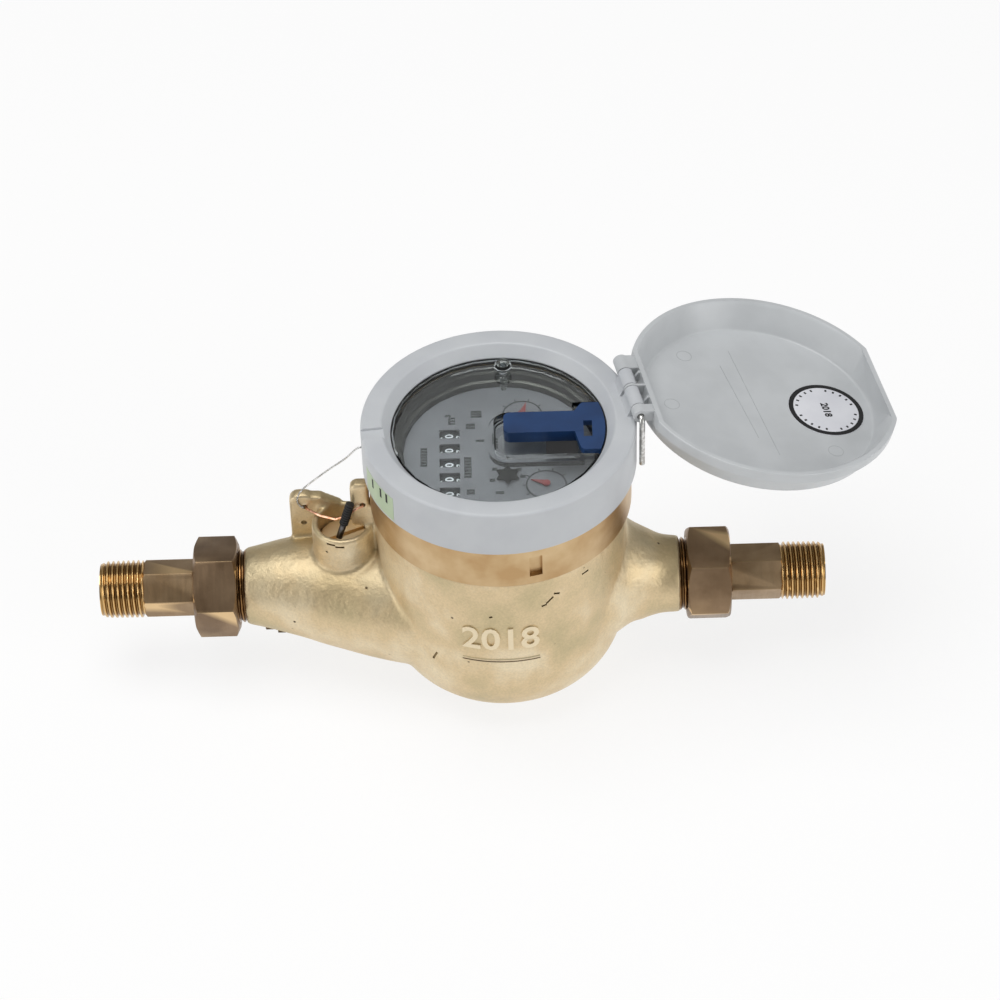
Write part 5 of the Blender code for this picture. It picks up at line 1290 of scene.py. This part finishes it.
@dataclass
class CapRing:
    """The grey plastic ring over the head ring, with the hinge's fixed knuckles."""

    radius: float = 48.0
    top: float = 113.8
    bottom: float = 95.5
    wall: float = 1.5
    flat_inner: float = 40.7
    mouth: float = 37.7
    mouth_z: float = 109.6
    lip: float = 108.6
    groove: tuple[float, float, float] = (186.0, 5.0, 1.0)
    wire_hole_z: float = 103.0
    sticker: tuple[float, float, float, float] = (-163.0, -140.0, 96.6, 107.0)
    bars: tuple[tuple[float, float], ...] = ((-155.8, 106.0), (-148.8, 106.4), (-144.4, 106.6))

    def build(self, finishes: Finishes) -> None:
        """Moulds the ring.

        Args:
            finishes: The meter's finishes.
        """
        skirt = self.radius - self.wall
        ceiling = self.top - 1.9
        ring = turned("plastic_ring", [
            (self.mouth, self.mouth_z, 0.4), (self.flat_inner, self.top, 1.2), (self.radius, self.top, 1.1),
            (self.radius, self.bottom, 0.35), (skirt, self.bottom, 0.35), (skirt, ceiling, 0.6),
            (self.flat_inner + 1.0, ceiling), (self.mouth + 1.5, self.lip),
            (self.mouth, self.lip, 0.2)], 192, True)
        angle, width, depth = self.groove
        tool = box("groove", (self.mouth - 3, -width / 2, self.top - depth),
                   (self.radius + 2, width / 2, self.top + 2))
        moved(tool, Matrix.Rotation(math.radians(angle), 4, "Z"))
        hole = turned("hole", [(0.0, 3.0), (0.9, 3.0), (0.9, -3.0), (0.0, -3.0)], 24)
        place = Matrix.Translation((-(skirt + self.wall / 2) * MM, 0, self.wire_hole_z * MM))
        moved(hole, place @ Matrix.Rotation(math.pi / 2, 4, "Y"))
        combine(ring, Hinge().knuckles(), "UNION")
        combine(ring, [Hinge().bore(), tool, hole], "DIFFERENCE")
        seat(smooth(ring), ROOT, finishes.ring, ["cap_ring"])
        start, end, low, high = self.sticker
        parts = [painted(band("label", self.radius, 0.08, start, end, low, high), finishes.green)]
        for middle, bar_high in self.bars:
            bar = band("bar", self.radius, 0.14, middle - 0.6, middle + 0.6, bar_high - 4.0, bar_high, 4)
            parts.append(painted(bar, finishes.ink))
        seat(smooth(joined("skirt_label", parts)), ROOT)


@dataclass
class Hinge:
    """The lid's hinge: knuckles on the ring, sleeves on the lid and a bent pin."""

    angle: float = 11.4
    radius: float = 47.6
    height: float = 116.9
    barrel_radius: float = 2.6
    pin_radius: float = 1.0
    gap: float = 0.3
    spans: tuple[tuple[float, float], ...] = ((1.9, 9.7), (-8.9, 0.3))
    foot: float = 4.2
    tail_z: float = 96.5
    bend: float = 1.9
    near: float = -13.3
    far: float = 16.8

    def frame(self) -> Matrix:
        """Matrix whose X is the hinge's radius and Y its axis."""
        turn = Matrix.Rotation(math.radians(self.angle), 4, "Z")
        return turn @ Matrix.Translation((self.radius * MM, 0, self.height * MM))

    def barrel(self, name: str, start: float, end: float, radius: float, steps: int = 32) -> bpy.types.Object:
        """A cylinder along the hinge's axis, in the hinge's own frame."""
        item = turned(name, [(0.0, end), (radius, end), (radius, start), (0.0, start)], steps)
        return moved(item, Matrix.Rotation(-math.pi / 2, 4, "X"))

    def bore(self) -> bpy.types.Object:
        """The bore through the knuckles."""
        return moved(self.barrel("bore", -14.0, 18.0, self.pin_radius + self.gap), self.frame())

    def knuckles(self) -> list[bpy.types.Object]:
        """The ring's knuckles on their feet.

        Returns:
            Closed barrels and feet, in place.
        """
        made = []
        base = CapRing.top - self.height - 0.8
        for start, end in self.spans:
            foot = plate("foot", [
                (-self.foot, base), (-self.barrel_radius + 0.6, 1.0), (0.0, self.barrel_radius - 0.5),
                (1.4, 0.0), (0.4, base + 0.4), (-0.6, base)], start + 0.05, end - 0.05)
            moved(foot, Matrix(((1, 0, 0, 0), (0, 0, 1, 0), (0, 1, 0, 0), (0, 0, 0, 1))))
            foot.data.flip_normals()
            made.append(moved(self.barrel("knuckle", start, end, self.barrel_radius), self.frame()))
            made.append(moved(foot, self.frame()))
        return made

    def build(self, finishes: Finishes) -> None:
        """Bends the pin.

        Args:
            finishes: The meter's finishes.
        """
        line = [Vector((0, self.far, 0)), Vector((0, self.near, 0))]
        line += [Vector((0, y, z)) for y, z in arc(self.near, -self.bend, self.bend, 90, 180, 8)[1:]]
        line.append(Vector((0, self.near - self.bend, self.tail_z - self.height)))
        pin = sweep("bent_hinge_pin", [p * MM for p in line], self.pin_radius * MM, 20)
        moved(pin, self.frame())
        seat(smooth(pin), ROOT, finishes.steel, ["hinge_pin"])


@dataclass
class Lid:
    """The round lid with its two flats, swung open."""

    offset: float = -0.8
    open_angle: float = 191.3
    radius: float = 48.0
    flat: float = 43.85
    rim: float = 114.1
    height: float = 11.8
    wall: float = 1.7
    step_height: float = 4.2
    step: float = 1.2
    top_radius: float = 43.2
    sleeves: tuple[tuple[float, float], ...] = ((10.1, 17.0), (0.6, 1.6), (-13.2, -9.2))
    ribs: tuple[float, float] = (7.9, -5.4)
    rib: float = 1.1
    sticker: tuple[float, float, float] = (-24.6, -2.8, 13.7)
    ejectors: tuple[tuple[float, float], ...] = ((20.4, 27.6), (31.7, 1.6), (-21.9, -24.6))
    flow_lines: tuple[tuple[tuple[float, float], ...], ...] = (
        ((3.1, 30.1), (-0.6, -26.2)), ((8.4, 22.0), (4.6, -17.0)))

    def trimmed(self, item: bpy.types.Object, flat: float) -> bpy.types.Object:
        """Cuts the two flats from a turned form.

        Args:
            item: A turned form.
            flat: Distance of each flat from the middle in mm.

        Returns:
            The same form.
        """
        low, high = self.rim - 5, self.rim + self.height + 5
        tools = [box("flat", (flat, -60, low), (flat + 15, 60, high)),
                 box("flat", (-flat - 15, -60, low), (-flat, 60, high))]
        return combine(item, tools, "DIFFERENCE")

    def build(self, finishes: Finishes) -> None:
        """Moulds the lid closed in its own frame, then swings it open.

        Args:
            finishes: The meter's finishes.
        """
        hinge = Hinge()
        top = self.rim + self.height
        step_z = self.rim + self.step_height
        lid = turned("hinged_lid", [
            (0.0, top), (self.top_radius, top, 1.4), (self.radius - self.step - 0.6, step_z + 0.4, 0.5),
            (self.radius - 0.2, step_z, 0.5), (self.radius, self.rim, 0.4), (0.0, self.rim)], 192)
        self.trimmed(lid, self.flat)
        floor = top - self.wall
        hollow = turned("lid_hollow", [
            (0.0, floor), (self.top_radius - self.wall, floor, 1.2),
            (self.radius - self.step - self.wall, self.rim + 1.2), (self.radius - self.wall, self.rim),
            (self.radius - self.wall, self.rim - 1), (0.0, self.rim - 1)], 192)
        self.trimmed(hollow, self.flat - self.wall)
        axis_x = hinge.radius - self.offset
        wall_x = self.flat - self.wall / 2
        parts = []
        for start, end in self.sleeves:
            sleeve = hinge.barrel("sleeve", start, end, hinge.barrel_radius)
            parts.append(moved(sleeve, Matrix.Translation((axis_x * MM, 0, hinge.height * MM))))
            parts.append(box("web", (wall_x, start + 0.05, hinge.height - hinge.barrel_radius + 0.3),
                             (axis_x, end - 0.05, hinge.height + hinge.barrel_radius - 0.6)))
        reach = axis_x - hinge.barrel_radius - hinge.gap
        low, high = self.rim + 0.4, hinge.height + 1.6
        slope = [(wall_x, low), (axis_x - hinge.foot + hinge.gap, low), (reach, hinge.height - 0.2),
                 (reach, high), (wall_x, high)]
        for middle in self.ribs:
            rib = plate("rib", slope, -self.rib / 2, self.rib / 2)
            place = Matrix.Translation((0, middle * MM, 0)) @ Matrix.Rotation(math.pi / 2, 4, "X")
            parts.append(moved(rib, place))
        combine(lid, parts, "UNION")
        bore = hinge.barrel("bore", -15.0, 19.0, hinge.pin_radius + hinge.gap)
        moved(bore, Matrix.Translation((axis_x * MM, 0, hinge.height * MM)))
        combine(lid, [hollow, bore], "DIFFERENCE")
        moved(lid, self.swing())
        smooth(lid, 30.0)
        seat(lid, "lid_body", finishes.lid, ["lid"])
        self.marks(finishes)

    def marks(self, finishes: Finishes) -> None:
        """The round sticker and the mould's marks inside the lid.

        Args:
            finishes: The meter's finishes.
        """
        floor = self.rim + self.height - self.wall
        x, y, radius = self.sticker
        face_z = floor - 0.1
        paper = turned("paper", [(0.0, floor), (radius, floor), (radius, face_z), (0.0, face_z)], 64)
        moved(paper, Matrix.Translation((x * MM, y * MM, 0)))
        parts = [painted(paper, finishes.paper),
                 painted(hoop("rim", x, y, radius - 0.1, 1.7, floor - 0.16, floor - 0.08), finishes.ink)]
        for i in range(24):
            if i % 6:
                dash = box("dash", (radius - 3.6, -0.35, floor - 0.15), (radius - 2.6, 0.35, floor - 0.08))
                turn = Matrix.Translation((x * MM, y * MM, 0)) @ Matrix.Rotation(math.radians(15 * i), 4, "Z")
                parts.append(painted(moved(dash, turn), finishes.ink))
        year = lettering("year", CastBody.digits, 2.6, weight=0.12)
        face = Matrix.Translation((x * MM, y * MM, (floor - 0.09) * MM)) @ Matrix.Rotation(math.pi, 4, "Y")
        parts.append(painted(moved(year, face @ Matrix.Rotation(-math.pi / 2, 4, "Z")), finishes.ink))
        for mark_x, mark_y in self.ejectors:
            mark = hoop("ejector", mark_x, mark_y, 2.8, 0.22, floor - 0.05, floor + 0.05)
            parts.append(painted(mark, finishes.mark))
        for start, end in self.flow_lines:
            path = [Vector((*point, floor)) * MM for point in (start, end)]
            parts.append(painted(sweep("flow_line", path, 0.1 * MM, 6), finishes.mark))
        made = joined("lid_marks", parts)
        moved(made, self.swing())
        seat(smooth(made), "lid_body")

    def swing(self) -> Matrix:
        """Matrix that takes the closed lid to where it stands open.

        Returns:
            The matrix, in metres.
        """
        hinge = Hinge()
        axis = Matrix.Translation(((hinge.radius - self.offset) * MM, 0, hinge.height * MM))
        turn = Matrix.Rotation(math.radians(hinge.angle), 4, "Z")
        closed = turn @ Matrix.Translation((self.offset * MM, 0, 0))
        return closed @ axis @ Matrix.Rotation(math.radians(self.open_angle), 4, "Y") @ axis.inverted()


@dataclass
class Register:
    """What the eye reads through the crystal: print, number rollers, star and pointers."""

    top: float = 97.0
    ink: float = 0.06
    roller_x: float = -17.4
    roller_z: float = 89.6
    roller_radius: float = 6.3
    roller_ys: tuple[float, ...] = (9.6, 2.25, -5.1, -12.45, -19.8)
    unit: tuple[float, float, float] = (-16.9, 17.1, 3.4)
    pointers: tuple[tuple[float, float], ...] = ((16.0, -17.44), (8.38, 18.66))
    scale_radius: float = 7.2
    star: tuple[float, float] = (2.72, -13.02)
    blocks: tuple[tuple[float, float, float, float], ...] = (
        (-9.8, 17.8, -6.0, 21.6), (-11.6, 12.0, -8.4, 15.0), (-12.4, -13.0, -9.8, -2.2),
        (-11.6, -21.4, -8.8, -18.6), (-27.6, -6.8, -25.2, 3.0), (-3.6, -15.4, -1.6, -13.4),
        (-2.7, -9.8, -0.9, -7.9), (5.7, -10.1, 7.6, -8.2),
        # The block from (7.0, -13.8) to (9.0, -11.8) is a painted shadow beside the star, in ink.
        (7.0, -13.8, 9.0, -11.8), (-2.4, 2.6, -0.4, 8.4), (-1.6, -21.6, 1.4, -19.8), (-8.2, 5.2, -5.2, 6.6))

    def print_dial(self, finishes: Finishes) -> None:
        """Prints the dial with plain marks, a unit and a scale round each pointer.

        Args:
            finishes: The meter's finishes.
        """
        parts = []
        # One block is a painted shadow beside the star, printed like the marks.
        for left, near, right, far in self.blocks:
            rows = max(1, round((far - near) / 1.5))
            for i in range(rows):
                pitch = (far - near) / rows
                low = near + pitch * i
                mark = box("mark", (left, low, self.top), (right, low + pitch * 0.78, self.top + self.ink))
                parts.append(painted(mark, finishes.ink))
        x, y, height = self.unit
        unit = lettering("unit", "m³", height, weight=0.15)
        place = Matrix.Translation(Vector((x, y, self.top)) * MM) @ Matrix.Rotation(math.pi / 2, 4, "Z")
        parts.append(painted(moved(unit, place), finishes.ink))
        for x, y in self.pointers:
            scale = hoop("scale", x, y, self.scale_radius, 0.6, self.top, self.top + self.ink)
            parts.append(painted(scale, finishes.ink))
            for i in range(10):
                tick = box("tick", (self.scale_radius, -0.2, self.top),
                           (self.scale_radius + 1.2, 0.2, self.top + self.ink))
                turn = Matrix.Translation((x * MM, y * MM, 0)) @ Matrix.Rotation(math.radians(36 * i), 4, "Z")
                parts.append(painted(moved(tick, turn), finishes.ink))
        seat(joined("dial_print", parts), ROOT)

    def number(self, index: int, y: float, finishes: Finishes) -> None:
        """Prints ten digits round one roller, with 0 on top.

        Args:
            index: The roller's number.
            y: Middle of its width in mm.
            finishes: The meter's finishes.
        """
        parts = []
        for digit in range(10):
            item = lettering("digit", str(digit), 2.9, 0.12, 0.06)
            moved(item, Matrix.Rotation(math.pi / 2, 4, "Z"))
            for vertex in item.data.vertices:
                angle = vertex.co.x / (self.roller_radius * MM) - math.radians(36 * digit)
                reach = self.roller_radius * MM + vertex.co.z
                vertex.co = (self.roller_x * MM + reach * math.sin(angle), vertex.co.y + y * MM,
                             self.roller_z * MM + reach * math.cos(angle))
            parts.append(painted(item, finishes.paper))
        seat(joined(f"roller_digits_{index}", parts), f"roller_{index}_body")

    def dome(self, finishes: Finishes) -> None:
        """The clear dome over the star.

        Args:
            finishes: The meter's finishes.
        """
        x, y = self.star
        cup = turned("star_dome", [(0.0, 99.6), (4.6, 99.3), (5.8, 98.2), (6.0, self.top), (5.4, self.top),
                                   (5.2, 98.1), (4.3, 98.9), (0.0, 99.2)], 48)
        moved(cup, Matrix.Translation((x * MM, y * MM, 0)))
        seat(smooth(cup), ROOT, finishes.clear)

    def build(self, finishes: Finishes) -> None:
        """Dresses the register.

        Args:
            finishes: The meter's finishes.
        """
        self.print_dial(finishes)
        for index, y in enumerate(self.roller_ys, 1):
            self.number(index, y, finishes)
        # A thin black rod round the sensor pocket's outline: painted shade for the pocket wall under the
        # crystal.
        route = [(27.0, -12.6), *arc(3.2, -8.0, 4.6, -90, -180, 8), *arc(3.2, 3.9, 4.6, 180, 90, 8),
                 (10.0, 8.5)]
        edge = sweep("pocket_edge", [Vector((x, y, 105.3)) * MM for x, y in route], 0.28 * MM, 8)
        seat(smooth(edge, 60.0), ROOT, finishes.rubber)
        # A thin black ring inside the plastic ring's mouth: painted shade in the gap round the crystal.
        shade = turned("crystal_seat_line", [(37.65, 109.2), (37.35, 109.2), (37.35, 108.4),
                                             (37.65, 108.4)], 128, True)
        seat(smooth(shade), ROOT, finishes.rubber)


@dataclass
class Seal:
    """The twisted steel wire and the crimp on the copper wire's ends."""

    wire: tuple[tuple[float, float, float], ...] = (
        (-47.25, 0, 103), (-49.8, 0.2, 102.2), (-54.1, 1.2, 96.7), (-60.5, 2.5, 90.2), (-67.4, 5.3, 81.5),
        (-70.6, 6.9, 76.7), (-72.3, 7.4, 73.1), (-72.6, 7.4, 70.4), (-71.8, 7.55, 68.3), (-70.7, 7.55, 67.3),
        (-70.7, 9.5, 67.3))
    strand: float = 0.19
    twist: float = 2.0
    crimp: tuple[tuple[float, float, float], ...] = ((-53.1, -4.2, 79.8), (-57.8, -6.1, 65.2))
    crimp_radius: float = 1.6
    ribs: int = 9

    def build(self, finishes: Finishes) -> None:
        """Twists the wire and presses the crimp.

        Args:
            finishes: The meter's finishes.
        """
        line = curved(self.wire, 24)
        strands = []
        for phase in (0.0, math.pi):
            across = (line[1] - line[0]).orthogonal().normalized()
            path, run = [], 0.0
            for i, point in enumerate(line):
                along = (line[min(i + 1, len(line) - 1)] - line[max(i - 1, 0)]).normalized()
                across = (across - along * across.dot(along)).normalized()
                run += (point - line[i - 1]).length if i else 0.0
                angle = 2 * math.pi * run / (self.twist * MM) + phase
                side = across * math.cos(angle) + along.cross(across) * math.sin(angle)
                path.append(point + side * self.strand * MM)
            strands.append(sweep("strand", path, self.strand * MM, 6))
        seat(smooth(joined("twisted_seal_wire", strands), 60.0), ROOT, finishes.steel, ["seal_wire"])

        top, foot = (Vector(p) * MM for p in self.crimp)
        length = (foot - top).length / MM
        grip = length * 0.58
        profile: list[tuple[float, ...]] = [(0.0, 0.0), (self.crimp_radius, 0.0, 0.2)]
        pitch = grip / self.ribs
        valley = self.crimp_radius - 0.3
        for i in range(self.ribs):
            start = pitch * i
            profile += [(self.crimp_radius, start + 0.55 * pitch), (valley, start + 0.6 * pitch),
                        (valley, start + 0.95 * pitch), (self.crimp_radius, start + pitch)]
        profile += [(0.0, grip)]
        sleeve = painted(turned("sleeve", profile, 24), finishes.rubber)
        slim = self.crimp_radius * 0.72
        end = turned("end", [(0.0, grip), (slim, grip), (slim, length, 0.4), (0.0, length)], 24)
        painted(end, finishes.grey_metal)
        made = joined("ribbed_crimp", [sleeve, end])
        turn = (foot - top).to_track_quat("Z", "Y").to_matrix().to_4x4()
        moved(made, Matrix.Translation(top) @ turn)
        seat(smooth(made), ROOT, stands_for=["seal_crimp"])


@dataclass
class Studio:
    """The floor, the lamps and the camera at the photograph's angle."""

    target: tuple[float, float, float] = (0.0, 0.0, 0.06)
    distance: float = 1.3
    yaw: float = 0.324
    elevation: float = 44.196
    roll: float = 1.864
    lens: float = 131.09
    shift: tuple[float, float] = (-0.00194, 0.03154)
    room: float = 0.3             # strength of the room's light, against 1 for what the camera sees
    floor_white: float = 0.8      # share of the floor that the camera sees as plain white

    def camera(self) -> None:
        """Places the camera."""
        a, e, r = (math.radians(v) for v in (self.yaw, self.elevation, self.roll))
        back = Vector((math.sin(a) * math.cos(e), -math.cos(a) * math.cos(e), math.sin(e)))
        right = Vector((math.cos(a), math.sin(a), 0.0))
        up = back.cross(right)
        across = right * math.cos(r) - up * math.sin(r)
        upward = right * math.sin(r) + up * math.cos(r)
        data = bpy.data.cameras.new("camera")
        data.lens = self.lens
        data.sensor_width = 36.0
        data.shift_x, data.shift_y = self.shift
        data.clip_start, data.clip_end = 0.05, 20.0
        made = bpy.data.objects.new("camera", data)
        place = Vector(self.target) + back * self.distance
        made.matrix_world = Matrix((
            (across.x, upward.x, back.x, place.x), (across.y, upward.y, back.y, place.y),
            (across.z, upward.z, back.z, place.z), (0, 0, 0, 1)))
        bpy.context.scene.collection.objects.link(made)
        bpy.context.scene.camera = made

    def lamp(self, name: str, place: Sequence[float], size: float, power: float) -> None:
        """Hangs a square soft lamp that faces the meter.

        Args:
            name: The lamp's name.
            place: Where it hangs, in metres.
            size: Its side in metres.
            power: Its power in watts.
        """
        data = bpy.data.lights.new(name, "AREA")
        data.shape = "SQUARE"
        data.size = size
        data.energy = power
        made = bpy.data.objects.new(name, data)
        made.location = place
        made.rotation_euler = (Vector(place) - Vector(self.target)).to_track_quat("Z", "Y").to_euler()
        bpy.context.scene.collection.objects.link(made)

    def world(self) -> None:
        """A dim room, which the camera and the glass see as white."""
        made = bpy.data.worlds.new("studio")
        made.use_nodes = True
        tree = made.node_tree
        background = tree.nodes["Background"]
        path = node(tree, "ShaderNodeLightPath")
        seen = node(tree, "ShaderNodeMath", {"operation": "MAXIMUM"},
                    {0: path.outputs["Is Camera Ray"], 1: path.outputs["Is Transmission Ray"]})
        strength = node(tree, "ShaderNodeMapRange", inputs={
            "Value": seen.outputs[0], "To Min": self.room, "To Max": 1.0})
        tree.links.new(strength.outputs["Result"], background.inputs["Strength"])
        background.inputs["Color"].default_value = (1.0, 1.0, 1.0, 1.0)
        bpy.context.scene.world = made

    def floor(self) -> None:
        """A white sweep that keeps a soft shadow."""
        work = bmesh.new()
        bmesh.ops.create_grid(work, x_segments=1, y_segments=1, size=6.0)
        item = mesh_object("floor", work)
        made = blank("white_sweep", 0.9)
        tree = made.node_tree
        shader = tree.nodes["Principled BSDF"]
        shader.inputs["Base Color"].default_value = linear("#FEFEFE")
        path = node(tree, "ShaderNodeLightPath")
        glow = node(tree, "ShaderNodeEmission", inputs={"Color": (1, 1, 1, 1), "Strength": 1.0})
        seen = node(tree, "ShaderNodeMath", {"operation": "MAXIMUM"},
                    {0: path.outputs["Is Camera Ray"], 1: path.outputs["Is Glossy Ray"]})
        share = node(tree, "ShaderNodeMapRange", inputs={
            "Value": seen.outputs[0], "To Min": 0.0, "To Max": self.floor_white})
        both = node(tree, "ShaderNodeMixShader", inputs={
            0: share.outputs["Result"], 1: shader.outputs["BSDF"], 2: glow.outputs["Emission"]})
        tree.links.new(both.outputs["Shader"], tree.nodes["Material Output"].inputs["Surface"])
        item.data.materials.append(made)

    def build(self) -> None:
        """Sets up the studio."""
        self.camera()
        self.world()
        self.floor()
        self.lamp("overhead", (-0.25, 0.0, 1.5), 1.1, 13.0)
        self.lamp("left", (-1.4, -0.7, 0.5), 0.8, 6.0)
        self.lamp("right", (1.2, -0.7, 0.5), 0.8, 6.5)
        bpy.context.scene.view_settings.view_transform = "Standard"


def dress_nodes(nodes: dict[str, bpy.types.Object], finishes: Finishes) -> None:
    """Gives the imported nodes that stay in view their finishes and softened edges.

    Args:
        nodes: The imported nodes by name.
        finishes: The meter's finishes.
    """
    plan = {
        finishes.head: ("regulator_screw",),
        finishes.can: ("register_can", "star_wheel", "inlet_strainer"),
        finishes.rubber: ("crystal_gasket", "inlet_gasket", "outlet_gasket", "sensor_block"),
        finishes.white: ("register_frame", "idler_gear", "relay_pinion", "chamber_cup", "chamber_cover",
                         "impeller"),
        finishes.roller: ("number_roller_1", "number_roller_2", "number_roller_3", "number_roller_4",
                          "number_roller_5"),
        finishes.dial: ("dial_plate",),
        finishes.red: ("pointer_a", "pointer_b"),
        finishes.blue: ("blue_plug",),
        finishes.clear: ("crystal", "crystal_pin"),
        finishes.steel: ("roller_shaft", "impeller_axle"),
        finishes.copper: ("copper_wire",),
    }
    for material, names in plan.items():
        for name in names:
            item = nodes[name]
            item.data.materials.clear()
            item.data.materials.append(material)
            item.data.shade_smooth()
            weld = item.modifiers.new("weld", "WELD")
            weld.merge_threshold = 0.01 * MM
            edges = item.modifiers.new("edges", "EDGE_SPLIT")
            edges.split_angle = math.radians(32)


def main() -> None:
    """Builds the scene."""
    logging.basicConfig(level=logging.INFO, format="%(name)s: %(message)s")
    for item in list(bpy.data.objects):
        bpy.data.objects.remove(item, do_unlink=True)
    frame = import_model()
    finishes = Finishes()
    CastBody().build(finishes)
    HeadRing().build(finishes)
    CapRing().build(finishes)
    Hinge().build(finishes)
    Lid().build(finishes)
    Union(Side.INLET, 99.8, -14.2, -14.2).build(finishes)
    Union(Side.OUTLET, 70.3, 9.8, -4.2).build(finishes)
    Register().build(finishes)
    Seal().build(finishes)
    dress_nodes(frame["nodes"], finishes)
    Studio().build()


if __name__ == "__main__":
    main()
